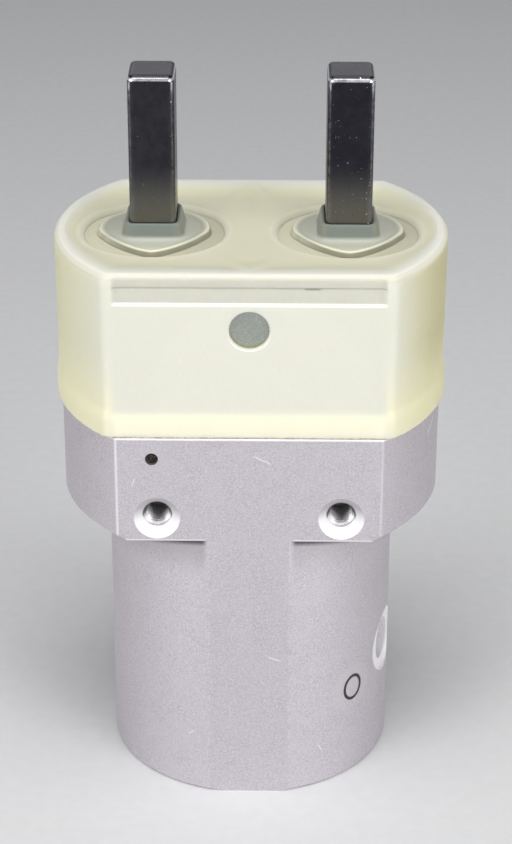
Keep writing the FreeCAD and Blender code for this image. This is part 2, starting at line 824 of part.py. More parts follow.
def make_jaw_guide():
    body = new_body("jaw_guide")
    blank = new_sketch(body, "XY_Plane", "head_top")
    draw_flatted_disc(blank, "guide_radius", "guide_flat")
    extrude(body, blank, "guide_top - head_top")

    # the T-slot runs right through along X
    tee = new_sketch(body, "YZ_Plane")
    wide = "flange_half + slide_gap"
    narrow = "neck_half + slide_gap"
    draw_outline(
        tee,
        [
            (f"-({wide})", "flange_low - slide_gap"),
            (wide, "flange_low - slide_gap"),
            (wide, "flange_high + slide_gap"),
            (narrow, "flange_high + slide_gap"),
            (narrow, "guide_top + overrun"),
            (f"-({narrow})", "guide_top + overrun"),
            (f"-({narrow})", "flange_high + slide_gap"),
            (f"-({wide})", "flange_high + slide_gap"),
        ],
    )
    extrude(body, tee, "2 * (guide_radius + overrun)", "Pocket", symmetric=True)

    floor_slot = new_sketch(body, "XY_Plane", "flange_low")
    draw_box(floor_slot, "-plate_slot_reach", "-plate_slot_half", "plate_slot_reach", "plate_slot_half")
    extrude(body, floor_slot, "flange_low - head_top", "Pocket")
    rod_hole = new_sketch(body, "XY_Plane", "flange_low")
    draw_circle(rod_hole, "0", "0", "rod_passage")
    extrude(body, rod_hole, "flange_low - head_top", "Pocket")

    pin_hole = new_sketch(body)
    draw_circle(pin_hole, "0", "guide_pin_z", "guide_pin_radius")
    extrude(body, pin_hole, "2 * (guide_flat + overrun)", "Pocket", symmetric=True)

    dowel_holes = new_sketch(body, "XY_Plane", "head_top")
    for y in ("dowel_y", "-dowel_y"):
        draw_circle(dowel_holes, "0", y, "dowel_radius")
    extrude(body, dowel_holes, "dowel_high - head_top", "Pocket", reverse=True)

    screw_holes = (
        ("screw_shank_radius", "guide_top - head_top"),
        ("cap_screw_radius + cap_screw_play", "guide_top - screw_head_low"),
    )
    for radius, depth in screw_holes:
        holes = new_sketch(body, "XY_Plane", "guide_top")
        for x in ("screw_x", "-screw_x"):
            for y in ("screw_y", "-screw_y"):
                draw_circle(holes, x, y, radius)
        extrude(body, holes, depth, "Pocket")
    return body


def make_guide_screws():
    screws = []
    length = "screw_head_low - screw_low - cap_screw_gap"
    for x in ("screw_x", "-screw_x"):
        for y in ("screw_y", "-screw_y"):
            label = f"guide_screw_{len(screws) + 1}"
            screw = cap_screw(label, "cap_screw_radius", "cap_screw_head", length, "socket_radius")
            place(screw, x=x, y=y, z="screw_head_low")
            screws.append(screw)
    return group("guide_screws", screws)


def make_guide_dowels():
    dowels = []
    for y in ("dowel_y", "-dowel_y"):
        dowel = turned(
            f"guide_dowel_{len(dowels) + 1}",
            [
                ("0", "dowel_low + end_gap"),
                ("dowel_radius - small_chamfer", "dowel_low + end_gap"),
                ("dowel_radius", "dowel_low + end_gap + small_chamfer"),
                ("dowel_radius", "dowel_high - end_gap - small_chamfer"),
                ("dowel_radius - small_chamfer", "dowel_high - end_gap"),
                ("0", "dowel_high - end_gap"),
            ],
        )
        place(dowel, y=y)
        dowels.append(dowel)
    return group("guide_dowels", dowels)


# ---- boot and vent plug --------------------------------------------------------------------------


def make_boot():
    """A moulded shell, open below, with a thicker hem and an opening for each finger's collar."""
    body = new_body("boot")
    shell = new_sketch(body, "XY_Plane", "head_top")
    draw_flatted_disc(shell, "boot_radius", "boot_flat")
    extrude(body, shell, "boot_top - head_top")
    top = size("boot_top")
    fillet(body, "boot_edge", lambda edge: edge.BoundBox.ZMin > top - NEAR)
    hem = new_sketch(body, "XY_Plane", "head_top")
    draw_flatted_disc(hem, "boot_radius + hem_bulge", "boot_flat + hem_bulge")
    extrude(body, hem, "hem_height")
    hollow = new_sketch(body, "XY_Plane", "head_top")
    draw_flatted_disc(hollow, "boot_radius - boot_wall", "boot_flat - boot_wall")
    extrude(body, hollow, "boot_top - boot_wall - head_top", "Pocket", reverse=True)

    openings = new_sketch(body, "XY_Plane", "boot_top")
    reach = "(collar_half_wide + collar_travel + collar_gap)"
    width = "(collar_half_deep + collar_gap)"
    for side in ("", "-"):
        draw_box(
            openings,
            f"{side}(finger_x - {side}{reach})",
            f"-{width}",
            f"{side}(finger_x + {side}{reach})",
            width,
        )
    extrude(body, openings, "boot_wall + overrun", "Pocket")

    pin_holes = new_sketch(body)
    draw_circle(pin_holes, "0", "guide_pin_z", "boot_pin_hole")
    extrude(body, pin_holes, "2 * (boot_flat + overrun)", "Pocket", symmetric=True)
    return body


def make_vent_plug():
    body = ring("vent_plug", "0", "vent_radius", "0", "vent_plug_length")
    back = "-flat_offset + vent_plug_length + vent_plug_depth"
    place(body, x="-vent_x", y=back, z="vent_z", axis=(1, 0, 0), angle=90)
    return body


# ---- the gripper ---------------------------------------------------------------------------------

SUBPARTS = [
    make_housing(),
    make_end_cap(),
    make_end_cap_oring(),
    make_snap_ring(),
    ring("rod_bush", "rod_radius + running_gap", "bush_radius", "bush_low", "bush_top"),
    ring(
        "rod_seal",
        "rod_radius + running_gap",
        "rod_seal_radius",
        "rod_seal_low + end_gap",
        "rod_seal_high - end_gap",
    ),
    make_jaw_guide(),
    make_guide_screws(),
    make_guide_dowels(),
    cross_pin("guide_pin", "guide_pin_radius", "guide_pin_half_length", "0", "guide_pin_z"),
    make_boot(),
    make_vent_plug(),
    make_piston(),
    make_piston_seal(),
    ring(
        "piston_wear_ring",
        "wear_ring_floor_radius",
        "bore_radius - running_gap",
        "wear_ring_low + wear_ring_play",
        "wear_ring_high - wear_ring_play",
    ),
    ring("piston_magnet", "magnet_inner_radius", "magnet_outer_radius", "magnet_low", "piston_high"),
    make_piston_bumpers(),
    make_piston_screw(),
    make_piston_rod(),
    make_cam_plate(),
    cross_pin("cam_plate_pin", "cross_pin_radius", "rod_radius - cross_pin_gap", "0", "cross_pin_z"),
    make_jaw("left_jaw", 180),
    make_jaw("right_jaw", 0),
    cross_pin("left_jaw_pin", "jaw_pin_radius", "flange_half - jaw_pin_gap", "-jaw_pin_x", "jaw_pin_z"),
    cross_pin("right_jaw_pin", "jaw_pin_radius", "flange_half - jaw_pin_gap", "jaw_pin_x", "jaw_pin_z"),
    make_boot_collar("left_boot_collar", "-1"),
    make_boot_collar("right_boot_collar", "1"),
]
doc.recompute()

for obj in doc.Objects:
    if "Invalid" in obj.State or "Error" in obj.State:
        raise RuntimeError(f"{obj.Label} failed: {obj.State}")
    cuts = obj.TypeId in ("PartDesign::Pocket", "PartDesign::Groove", "PartDesign::Hole")
    if cuts and obj.BaseFeature.Shape.Volume - obj.Shape.Volume < SMALLEST_CUT:
        raise RuntimeError(f"{obj.Label} cuts nothing")

os.makedirs("parts", exist_ok=True)
for obj in SUBPARTS:
    shape = obj.Shape
    if shape.isNull() or not shape.isValid() or not shape.Solids:
        raise RuntimeError(f"{obj.Label} has no valid solid")
    shape.exportStep(f"parts/{obj.Label}.step")
    print(f"{obj.Label}: {len(shape.Solids)} solid(s), {shape.Volume:.1f} mm3")
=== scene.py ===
import math

import bpy
from mathutils import Matrix, Vector


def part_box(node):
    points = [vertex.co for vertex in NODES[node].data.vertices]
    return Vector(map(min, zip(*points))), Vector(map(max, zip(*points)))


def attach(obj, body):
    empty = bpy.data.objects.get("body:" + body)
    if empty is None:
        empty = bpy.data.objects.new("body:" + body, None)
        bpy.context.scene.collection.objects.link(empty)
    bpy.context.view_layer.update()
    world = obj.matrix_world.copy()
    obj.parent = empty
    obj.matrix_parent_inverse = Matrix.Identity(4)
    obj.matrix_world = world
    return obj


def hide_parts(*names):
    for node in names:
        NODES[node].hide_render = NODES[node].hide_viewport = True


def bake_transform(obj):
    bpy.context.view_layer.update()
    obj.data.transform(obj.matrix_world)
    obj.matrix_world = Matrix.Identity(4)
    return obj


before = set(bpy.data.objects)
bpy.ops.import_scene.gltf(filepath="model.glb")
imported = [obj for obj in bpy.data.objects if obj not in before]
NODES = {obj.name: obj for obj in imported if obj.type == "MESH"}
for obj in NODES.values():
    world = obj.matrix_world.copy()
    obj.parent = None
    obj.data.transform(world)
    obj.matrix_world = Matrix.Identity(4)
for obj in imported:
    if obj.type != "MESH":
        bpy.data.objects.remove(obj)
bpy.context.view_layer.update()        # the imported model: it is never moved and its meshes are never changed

MM = 0.001

# ---------------------------------------------------------------- sizes, in millimetres

HEAD_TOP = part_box("housing")[1].z / MM
BOOT_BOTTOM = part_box("boot")[0].z / MM
BOOT_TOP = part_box("boot")[1].z / MM
BOOT_RADIUS = 18.2
BOOT_FLAT = 12.85
BOOT_CORNER = 1.2
BOOT_WALL = 1.05
UNDERSIDE_DROP = 1.35        # from the boot's highest level down to the underside of its top
BOOT_EDGE = 0.8
BOOT_DRAFT = 0.10
HEM_TOP = 40.55
HEM_BULGE = 0.25
PANEL_TOP = 51.25
BAND_SUNK = 0.20
BAND_HALF = 12.3
BAND_LINE = 52.77
DISH_DROP = 0.55
DISH_RUN = 4.0
LIP_RADIUS = 7.5
OPENING = 6.44               # radius of the round opening in the boot's top, inside the lip
OPENING_BELOW = 7.30         # and its radius at the underside
FINGER_X = 9.0
FINGER_WIDE = 2.12
FINGER_DEEP = 2.6
FINGER_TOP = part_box("left_jaw")[1].z / MM
PIN_Z = 48.75
PIN_HOLE = 1.80
PIN_SEAT = 1.93
PIN_FACE = -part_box("guide_pin")[0].y / MM
PATCH_HALF = 2.4
PATCH_STEP = 0.4
BARREL = 13.75
BARREL_FLAT_END = 3.8        # just outside the edge of the barrel's flat
HEAD_FLAT = 13.25
HEAD_CORNER = 12.18          # half the width of the head's flat
HEAD_LOW = 27.8              # the underside of the head
HOLE_X = 8.5
HOLE_Z = 30.1
COUNTERSINK = 2.10           # radius, as the spotface's is
SPOTFACE = 3.24
PORT_ANGLE = -15.0
LOWER_PORT_Z = 11.7
UPPER_PORT_Z = 22.9
PORT_MIDDLE = (LOWER_PORT_Z + UPPER_PORT_Z) / 2
PORT_SHIFT = (UPPER_PORT_Z - LOWER_PORT_Z) / 2


def smooth(value):
    """0 to 1, eased at both ends."""
    value = min(max(value, 0.0), 1.0)
    return value * value * (3.0 - 2.0 * value)


def steps(start, stop, count):
    """Evenly spaced values from start to stop, both included."""
    return [start + (stop - start) * i / count for i in range(count + 1)]


# ---------------------------------------------------------------- meshes


class Surface:
    """Vertices and faces gathered row by row, in millimetres, and made into one object."""

    def __init__(self):
        self.points = []
        self.faces = []

    def row(self, points):
        first = len(self.points)
        self.points.extend(points)
        return list(range(first, first + len(points)))

    def bridge(self, low, high, closed=True):
        count = len(low)
        for i in range(count if closed else count - 1):
            j = (i + 1) % count
            self.faces.append((low[i], low[j], high[j], high[i]))

    def bridge_all(self, rows, closed=True):
        for low, high in zip(rows, rows[1:]):
            self.bridge(low, high, closed)

    def build(self, name, material, flip=False, sharp=None):
        mesh = bpy.data.meshes.new(name)
        faces = [tuple(reversed(f)) for f in self.faces] if flip else self.faces
        mesh.from_pydata([Vector(p) * MM for p in self.points], [], faces)
        mesh.validate()
        mesh.polygons.foreach_set("use_smooth", [True] * len(mesh.polygons))
        if sharp is not None:
            mesh.set_sharp_from_angle(angle=math.radians(sharp))
        mesh.materials.append(material)
        thing = bpy.data.objects.new(name, mesh)
        bpy.context.scene.collection.objects.link(thing)
        return thing


# ---------------------------------------------------------------- node graphs


class Graph:
    """A material on a Principled shader, with short calls for the nodes that the finishes are made of."""

    def __init__(self, name, colour, roughness, metallic=0.0):
        self.material = bpy.data.materials.new(name)
        self.material.use_nodes = True
        tree = self.material.node_tree
        self.nodes = tree.nodes
        self.links = tree.links
        self.shader = self.nodes["Principled BSDF"]
        self.set("Base Color", (*colour, 1.0))
        self.set("Roughness", roughness)
        self.set("Metallic", metallic)
        coords = self.nodes.new("ShaderNodeTexCoord")
        scale = self.nodes.new("ShaderNodeVectorMath")
        scale.operation = "SCALE"
        scale.inputs["Scale"].default_value = 1.0 / MM
        self.links.new(coords.outputs["Object"], scale.inputs[0])
        self.place = scale.outputs[0]
        self.normals = coords.outputs["Normal"]

    def set(self, name, value):
        self.shader.inputs[name].default_value = value

    def drive(self, name, socket):
        self.links.new(socket, self.shader.inputs[name])

    def feed(self, socket, value):
        if isinstance(value, bpy.types.NodeSocket):
            self.links.new(value, socket)
        elif isinstance(value, tuple) and len(value) == 3 and len(socket.default_value) == 4:
            socket.default_value = (*value, 1.0)
        else:
            socket.default_value = value

    def stretched(self, factors):
        """The place to read noise at, so that its features shrink by factors along x, y and z."""
        node = self.nodes.new("ShaderNodeVectorMath")
        node.operation = "MULTIPLY"
        self.links.new(self.place, node.inputs[0])
        node.inputs[1].default_value = factors
        return node.outputs[0]

    def noise(self, size, detail=3.0, rough=0.55, where=None):
        """Noise whose features are about size millimetres across."""
        node = self.nodes.new("ShaderNodeTexNoise")
        self.links.new(where or self.place, node.inputs["Vector"])
        node.inputs["Scale"].default_value = 1.0 / size
        node.inputs["Detail"].default_value = detail
        node.inputs["Roughness"].default_value = rough
        return node.outputs["Fac"]

    def cells(self, size):
        """Distance from the middles of cells about size millimetres across."""
        node = self.nodes.new("ShaderNodeTexVoronoi")
        self.links.new(self.place, node.inputs["Vector"])
        node.inputs["Scale"].default_value = 1.0 / size
        return node.outputs["Distance"]

    def span(self, value, low, high, out_low=0.0, out_high=1.0):
        """Eases value from low..high to out_low..out_high."""
        node = self.nodes.new("ShaderNodeMapRange")
        node.interpolation_type = "SMOOTHSTEP"
        self.feed(node.inputs["Value"], value)
        node.inputs["From Min"].default_value = low
        node.inputs["From Max"].default_value = high
        node.inputs["To Min"].default_value = out_low
        node.inputs["To Max"].default_value = out_high
        return node.outputs["Result"]

    def calc(self, operation, first, second=0.0):
        node = self.nodes.new("ShaderNodeMath")
        node.operation = operation
        self.feed(node.inputs[0], first)
        self.feed(node.inputs[1], second)
        return node.outputs[0]

    def product(self, *values):
        """All the values multiplied together."""
        result = values[0]
        for value in values[1:]:
            result = self.calc("MULTIPLY", result, value)
        return result

    def largest(self, *values):
        """The largest of the values."""
        result = values[0]
        for value in values[1:]:
            result = self.calc("MAXIMUM", result, value)
        return result

    def less(self, value, amount):
        """The value less the amount."""
        return self.calc("SUBTRACT", value, amount)

    def size_of(self, value):
        return self.calc("ABSOLUTE", value)

    def near(self, value, middle, reach, core=0.4):
        """1 where value is at middle, easing to 0 at reach from it."""
        return self.span(self.size_of(self.less(value, middle)), reach, reach * core)

    def stroke(self, across, up, middle, turn, half_length, half_width):
        """A short straight scratch on the plane of across and up, turned by turn degrees."""
        cos, sin = math.cos(math.radians(turn)), math.sin(math.radians(turn))
        shift_x = self.less(across, middle[0])
        shift_z = self.less(up, middle[1])
        along = self.calc("ADD", self.product(shift_x, cos), self.product(shift_z, sin))
        aside = self.less(self.product(shift_z, cos), self.product(shift_x, sin))
        return self.product(self.near(along, 0.0, half_length, 0.5), self.near(aside, 0.0, half_width, 0.3))

    def distance(self, first, second):
        """The length of a vector with those two components."""
        return self.calc("SQRT", self.calc("ADD", self.product(first, first), self.product(second, second)))

    def parts(self, socket):
        node = self.nodes.new("ShaderNodeSeparateXYZ")
        self.links.new(socket, node.inputs[0])
        return node.outputs["X"], node.outputs["Y"], node.outputs["Z"]

    def mix(self, share, first, second):
        """The first colour where share is 0, the second where it is 1."""
        node = self.nodes.new("ShaderNodeMix")
        node.data_type = "RGBA"
        self.feed(node.inputs["Factor"], share)
        self.feed(node.inputs[6], first)
        self.feed(node.inputs[7], second)
        return node.outputs[2]

    def bump(self, height, depth):
        """A bump where a height of 1 stands depth millimetres proud."""
        node = self.nodes.new("ShaderNodeBump")
        node.inputs["Strength"].default_value = 1.0
        node.inputs["Distance"].default_value = depth * MM
        self.links.new(height, node.inputs["Height"])
        self.drive("Normal", node.outputs[0])


METAL_DARK = (0.56, 0.53, 0.565)
METAL_LIGHT = (0.79, 0.75, 0.795)
METAL_CLOUD = (0.72, 0.68, 0.72)
METAL_BARE_AND_HIGHLIGHT = (0.96, 0.94, 0.96)
METAL_CLEAN = (0.86, 0.83, 0.85)
METAL_HOLE_TOP_SHADE = (0.42, 0.40, 0.42)
METAL_SHADE = (0.30, 0.285, 0.30)
METAL_CREVICE_SHADE = (0.05, 0.045, 0.05)
METAL_HOLE_SHADE = (0.03, 0.03, 0.03)
MARK_ANGLE = math.radians(-43.0)
MARK_X = BARREL * math.cos(MARK_ANGLE)
MARK_Y = BARREL * math.sin(MARK_ANGLE)
MARK_Z = 9.6
SCRATCHES = (      # middle (x, z), turn in degrees, half length, half width
    ((1.0, 36.2), -28.0, 0.75, 0.09),
    ((1.7, 35.9), -50.0, 0.35, 0.07),
    ((16.9, 36.4), 62.0, 0.80, 0.09),
    ((2.4, 15.0), -18.0, 0.85, 0.08),
    ((-5.6, 6.3), 40.0, 0.45, 0.06),
    ((6.9, 4.2), -65.0, 0.55, 0.05),
    ((-10.6, 33.8), 75.0, 0.60, 0.05),
)


def hole_mask(graph, x, y, z):
    """1 where a tool has cut into the blasted skin: the four mounting holes and the two air ports."""
    from_hole = graph.distance(graph.less(graph.size_of(x), HOLE_X), graph.less(z, HOLE_Z))
    holes = graph.product(
        graph.span(from_hole, COUNTERSINK + 0.06, COUNTERSINK), graph.span(graph.size_of(y), 7.0, 8.0)
    )
    turn = math.radians(PORT_ANGLE)
    along = graph.calc("ADD", graph.product(x, math.cos(turn)), graph.product(y, math.sin(turn)))
    sideways = graph.less(graph.product(x, math.sin(turn)), graph.product(y, math.cos(turn)))
    height = graph.calc("ADD", z, graph.product(graph.calc("SIGN", along), PORT_SHIFT))
    from_port = graph.distance(sideways, graph.less(height, PORT_MIDDLE))
    ports = graph.product(
        graph.span(from_port, SPOTFACE + 0.05, SPOTFACE), graph.span(graph.size_of(along), 8.0, 9.0)
    )
    return graph.largest(holes, ports)


def port_shade(graph, x, y, z):
    """Painted shade inside an air port: none at its mouth, dark from about 2 mm down."""
    return graph.product(graph.span(graph.distance(x, y), 12.4, 10.6, 0.0, 0.9), graph.span(z, 26.5, 25.5))


def blasted_aluminium():
    """Clear-anodised, fine bead-blasted aluminium: a lavender-grey satin with a fine sparkle, with painted
    highlights along its edges, bright in its holes, with a few scratches, and painted shade where light
    doesn't reach."""
    graph = Graph("blasted_aluminium", (0.55, 0.53, 0.56), 0.42, 1.0)
    x, y, z = graph.parts(graph.place)
    nz = graph.parts(graph.normals)[2]
    from_x, from_y = graph.size_of(x), graph.size_of(y)
    grain = graph.noise(0.16, 4.0, 0.7)
    coarse = graph.noise(2.2, 3.0, 0.5)
    tone = graph.mix(graph.span(grain, 0.32, 0.68), METAL_DARK, METAL_LIGHT)
    tone = graph.mix(graph.span(coarse, 0.35, 0.7, 0.0, 0.35), tone, METAL_CLOUD)

    # bright: painted highlights along the head's edges and its lower ledge, scuffs, scratches and whatever a
    # tool has cut
    # painted highlight on the head's upright edges, stronger on the left, and along its top edge
    corner = graph.product(
        graph.near(from_x, HEAD_CORNER, 0.20, 0.2), graph.span(z, HEAD_LOW - 0.3, HEAD_LOW + 0.1),
        graph.span(x, -5.0, 5.0, 0.8, 0.3),
    )
    rim = graph.span(z, HEAD_TOP - 0.22, HEAD_TOP - 0.10, 0.0, 0.8)
    on_flat = graph.span(from_y, HEAD_FLAT - 0.15, HEAD_FLAT - 0.05)
    beside = graph.product(
        graph.span(from_x, BARREL_FLAT_END, BARREL_FLAT_END + 0.5),
        graph.span(from_x, HEAD_CORNER + 0.22, HEAD_CORNER - 0.08),
    )
    # painted highlight along the head's lower edge beside the barrel's flat
    ledge = graph.product(on_flat, beside, graph.near(z, HEAD_LOW, 0.14), 0.9)
    scuffs = graph.noise(1.1, 4.0, 0.75, graph.stretched((1.0, 1.0, 0.12)))
    bright = graph.largest(corner, rim, ledge, graph.span(scuffs, 0.70, 0.74, 0.0, 0.5))
    facing = graph.span(y, 0.0, -1.0)
    for middle, turn, half_length, half_width in SCRATCHES:
        scratch = graph.stroke(x, z, middle, turn, half_length, half_width)
        bright = graph.largest(bright, graph.product(scratch, facing, 0.9))
    cut = hole_mask(graph, x, y, z)
    # painted highlights, bare scuffs and scratches, and cut metal all take the same bright colour
    tone = graph.mix(graph.largest(bright, cut), tone, METAL_BARE_AND_HIGHLIGHT)
    # painted shade: the upper half of each mounting hole's cut metal is darker
    upper_half = graph.product(cut, graph.span(z, HOLE_Z - 0.5, HOLE_Z + 1.1), graph.span(z, 26.5, 27.5))
    tone = graph.mix(graph.product(upper_half, 0.85), tone, METAL_HOLE_TOP_SHADE)
    from_mark = graph.distance(
        graph.distance(graph.less(x, MARK_X), graph.less(y, MARK_Y)), graph.less(z, MARK_Z)
    )
    tone = graph.mix(graph.span(from_mark, 2.9, 2.1, 0.0, 0.14), tone, METAL_CLEAN)

    # painted shade: on the barrel just below the head, in the crevice under its overhang, and down inside the
    # holes
    upright = graph.span(graph.size_of(nz), 0.6, 0.3)
    below = graph.product(
        graph.span(z, HEAD_LOW - 0.06, HEAD_LOW - 0.10),
        graph.span(from_x, BARREL_FLAT_END, BARREL_FLAT_END + 0.6), upright,
    )
    # painted shade: the barrel darker just below the head, more on the left
    shelter = graph.product(below, graph.span(z, 23.0, 27.4), graph.span(x, -12.0, 12.0, 0.5, 0.25))
    tone = graph.mix(shelter, tone, METAL_SHADE)
    # painted shade: a dark line in the crevice under the head's overhang
    set_back = graph.product(graph.less(HEAD_FLAT, from_y), 0.42)
    crevice = graph.product(
        below, graph.span(graph.calc("ADD", z, set_back), 27.05, 27.62),
        graph.span(from_x, 12.8, 5.0, 0.3, 0.8),
    )
    tone = graph.mix(crevice, tone, METAL_CREVICE_SHADE)
    # painted shade down inside the mounting holes and the air ports
    from_hole = graph.distance(graph.less(from_x, HOLE_X), graph.less(z, HOLE_Z))
    bore = graph.product(
        graph.span(from_hole, 1.45, 1.28), graph.span(from_y, 7.0, 8.0),
        graph.span(z, HOLE_Z - 0.55, HOLE_Z + 0.1), 0.95,
    )
    inside = graph.largest(bore, graph.product(cut, port_shade(graph, x, y, z)))
    graph.drive("Base Color", graph.mix(inside, tone, METAL_HOLE_SHADE))
    graph.drive("Roughness", graph.span(grain, 0.3, 0.7, 0.46, 0.60))
    graph.drive("Metallic", graph.span(cut, 0.0, 1.0, 1.0, 0.3))
    graph.bump(graph.noise(0.11, 3.0, 0.6), 0.012)
    return graph.material


def cut_aluminium():
    """The bright, finely lined metal of a tapped thread, with painted shade in the upper half of a mounting
    hole and down inside an air port."""
    graph = Graph("cut_aluminium", (0.93, 0.91, 0.93), 0.3, 1.0)
    x, y, z = graph.parts(graph.place)
    lines = graph.noise(0.12, 3.0, 0.6)
    tone = graph.mix(graph.span(lines, 0.3, 0.7), (0.86, 0.84, 0.86), (0.98, 0.96, 0.98))
    # painted shade: the upper half of a mounting hole's thread, and deep in an air port
    upper_half = graph.span(z, HOLE_Z - 0.5, HOLE_Z + 0.2, 0.0, 0.88)
    shade = graph.largest(upper_half, port_shade(graph, x, y, z))
    graph.drive("Base Color", graph.mix(shade, tone, (0.04, 0.04, 0.04)))
    graph.drive("Roughness", graph.span(lines, 0.3, 0.7, 0.25, 0.38))
    graph.drive("Metallic", graph.span(z, HOLE_Z - 0.9, HOLE_Z - 0.2, 0.25, 1.0))
    return graph.material


def turned_metal(name, colour, roughness):
    """Machined metal with fine tool lines round and along the part."""
    graph = Graph(name, colour, roughness, 1.0)
    lines = graph.noise(0.10, 3.0, 0.6, graph.stretched((0.25, 0.25, 1.0)))
    mottle = graph.noise(0.9, 3.0, 0.6)
    dark = tuple(c * 0.78 for c in colour)
    light = tuple(min(1.0, c * 1.12) for c in colour)
    tone = graph.mix(graph.span(lines, 0.3, 0.7), dark, light)
    graph.drive("Base Color", graph.mix(graph.span(mottle, 0.4, 0.7, 0.0, 0.5), tone, colour))
    graph.drive("Roughness", graph.span(mottle, 0.3, 0.7, roughness - 0.05, roughness + 0.05))
    graph.bump(lines, 0.004)
    return graph.material


def ground_steel():
    """Fine-ground steel under a grey-green film of oil, with a few bright specks."""
    graph = Graph("ground_steel_finish", (0.42, 0.45, 0.40), 0.36, 0.9)
    grain = graph.noise(0.14, 4.0, 0.65)
    cloud = graph.noise(1.6, 3.0, 0.6)
    tone = graph.mix(graph.span(grain, 0.3, 0.7), (0.34, 0.37, 0.33), (0.50, 0.53, 0.48))
    tone = graph.mix(graph.span(cloud, 0.35, 0.65, 0.0, 0.5), tone, (0.36, 0.40, 0.36))
    specks = graph.span(graph.noise(0.22, 2.0, 0.5), 0.72, 0.75)
    graph.drive("Base Color", graph.mix(specks, tone, (0.78, 0.79, 0.75)))
    graph.drive("Roughness", graph.span(cloud, 0.3, 0.7, 0.30, 0.44))
    graph.bump(grain, 0.005)
    return graph.material


def print_ink():
    """Thin dark marking ink, a little broken over the blasted grain."""
    graph = Graph("marking_ink", (0.03, 0.03, 0.035), 0.5)
    gaps = graph.noise(0.15, 3.0, 0.6)
    tone = graph.mix(graph.span(gaps, 0.55, 0.75, 0.0, 0.5), (0.025, 0.025, 0.03), (0.20, 0.19, 0.20))
    graph.drive("Base Color", tone)
    graph.drive("Roughness", graph.span(gaps, 0.3, 0.7, 0.42, 0.6))
    return graph.material


STEEL_FINE = (0.08, 0.08, 0.085)
STEEL_BOOT_REFLECTION = (0.155, 0.150, 0.136)
STEEL_LIT_TOP = (0.31, 0.305, 0.325)
STEEL_EDGE_WEAR_AND_HIGHLIGHT = (0.19, 0.185, 0.195)
STEEL_WEAR_AND_HIGHLIGHT = (0.95, 0.94, 0.96)
STEEL_DUST = (0.62, 0.62, 0.64)


def black_oxide(name, black, dust):
    """Blackened steel: satin black, lighter and browner where it leaves the boot as a painted reflection of
    the boot, lighter on top as painted light, bright along its rounded edges where they have worn and with
    painted highlights, with dust specks and fine scratches. A higher dust gives fewer specks."""
    graph = Graph(name, (0.03, 0.03, 0.034), 0.30, 0.85)
    z = graph.parts(graph.place)[2]
    nx, ny, nz = graph.parts(graph.normals)
    cloud = graph.noise(1.2, 4.0, 0.6)
    fine = graph.noise(0.09, 3.0, 0.6)
    darker = tuple(c * 0.72 for c in black)
    tone = graph.mix(graph.span(cloud, 0.35, 0.7), darker, black)
    tone = graph.mix(graph.span(fine, 0.55, 0.8, 0.0, 0.5), tone, STEEL_FINE)
    # painted reflection of the pale boot: lighter and browner towards the finger's base
    tone = graph.mix(graph.span(z, 61.0, 55.2, 0.0, 0.9), tone, STEEL_BOOT_REFLECTION)
    above = graph.span(z, FINGER_TOP - 0.7, FINGER_TOP - 0.4)
    # painted light: the top face lighter
    tone = graph.mix(graph.product(above, graph.span(nz, 0.8, 0.97), 0.9), tone, STEEL_LIT_TOP)
    wear = graph.span(graph.noise(0.6, 4.0, 0.7), 0.34, 0.60, 0.35, 1.0)
    # the upright rounded edges: wear and a painted highlight
    corner = graph.product(
        graph.span(graph.size_of(nx), 0.42, 0.66), graph.span(graph.size_of(ny), 0.42, 0.66),
        graph.span(nz, 0.75, 0.5), wear, 0.8,
    )
    tone = graph.mix(corner, tone, STEEL_EDGE_WEAR_AND_HIGHLIGHT)
    # painted highlight along the top's rounded edges and down the upright edges near the top, broken up by
    # wear
    rim = graph.product(above, graph.near(nz, 0.38, 0.30, 0.4), graph.span(wear, 0.2, 0.7, 0.6, 1.0))
    turning = graph.product(corner, graph.span(z, FINGER_TOP - 2.2, FINGER_TOP - 0.6))
    tone = graph.mix(graph.largest(rim, turning), tone, STEEL_WEAR_AND_HIGHLIGHT)
    specks = graph.span(graph.noise(0.26, 2.0, 0.5), dust, dust + 0.02)
    streaks = graph.noise(0.5, 3.0, 0.7, graph.stretched((2.6, 2.6, 0.18)))
    marks = graph.largest(specks, graph.span(streaks, 0.70, 0.74, 0.0, 0.4))
    graph.drive("Base Color", graph.mix(marks, tone, STEEL_DUST))
    graph.drive("Roughness", graph.span(cloud, 0.3, 0.7, 0.24, 0.36))
    graph.bump(graph.noise(0.10, 3.0, 0.6), 0.004)
    return graph.material


BOOT_MILKY = (0.755, 0.75, 0.655)
BOOT_SIDE = (0.73, 0.71, 0.47)
BOOT_SHADED_RIGHT = (0.53, 0.49, 0.26)
BOOT_UPWARD = (0.90, 0.865, 0.61)
BOOT_LOW = (0.94, 0.89, 0.56)
BOOT_OUTER = (0.62, 0.62, 0.54)
BOOT_HEM = (0.97, 0.905, 0.685)
BOOT_FOOT = (0.30, 0.24, 0.12)
BOOT_BAND = (0.60, 0.595, 0.515)
BOOT_LINE_SHADE = (0.40, 0.39, 0.32)
BOOT_NICK = (0.10, 0.09, 0.08)
BOOT_LEDGE_HIGHLIGHT = (1.0, 1.0, 0.97)
BOOT_RIM_HIGHLIGHT = (1.0, 0.98, 0.84)
BOOT_TURN_SHADE = (0.55, 0.54, 0.46)
BOOT_LIP_HIGHLIGHT = (0.99, 0.955, 0.68)
BOOT_PIN_EDGE_HIGHLIGHT = (1.0, 1.0, 0.96)
BOOT_CLOUD = (0.74, 0.72, 0.58)
BOOT_DUST = (0.97, 0.97, 0.94)
RING_SHEET = (0.90, 0.875, 0.66)
RING_THIN = (0.51, 0.53, 0.465)
RING_SLEEVE = (0.205, 0.232, 0.212)
RING_SLEEVE_SIDE_SHADE = (0.31, 0.31, 0.235)
RING_FOLD_HIGHLIGHT = (0.93, 0.91, 0.74)
RING_SHADE = (0.22, 0.205, 0.145)


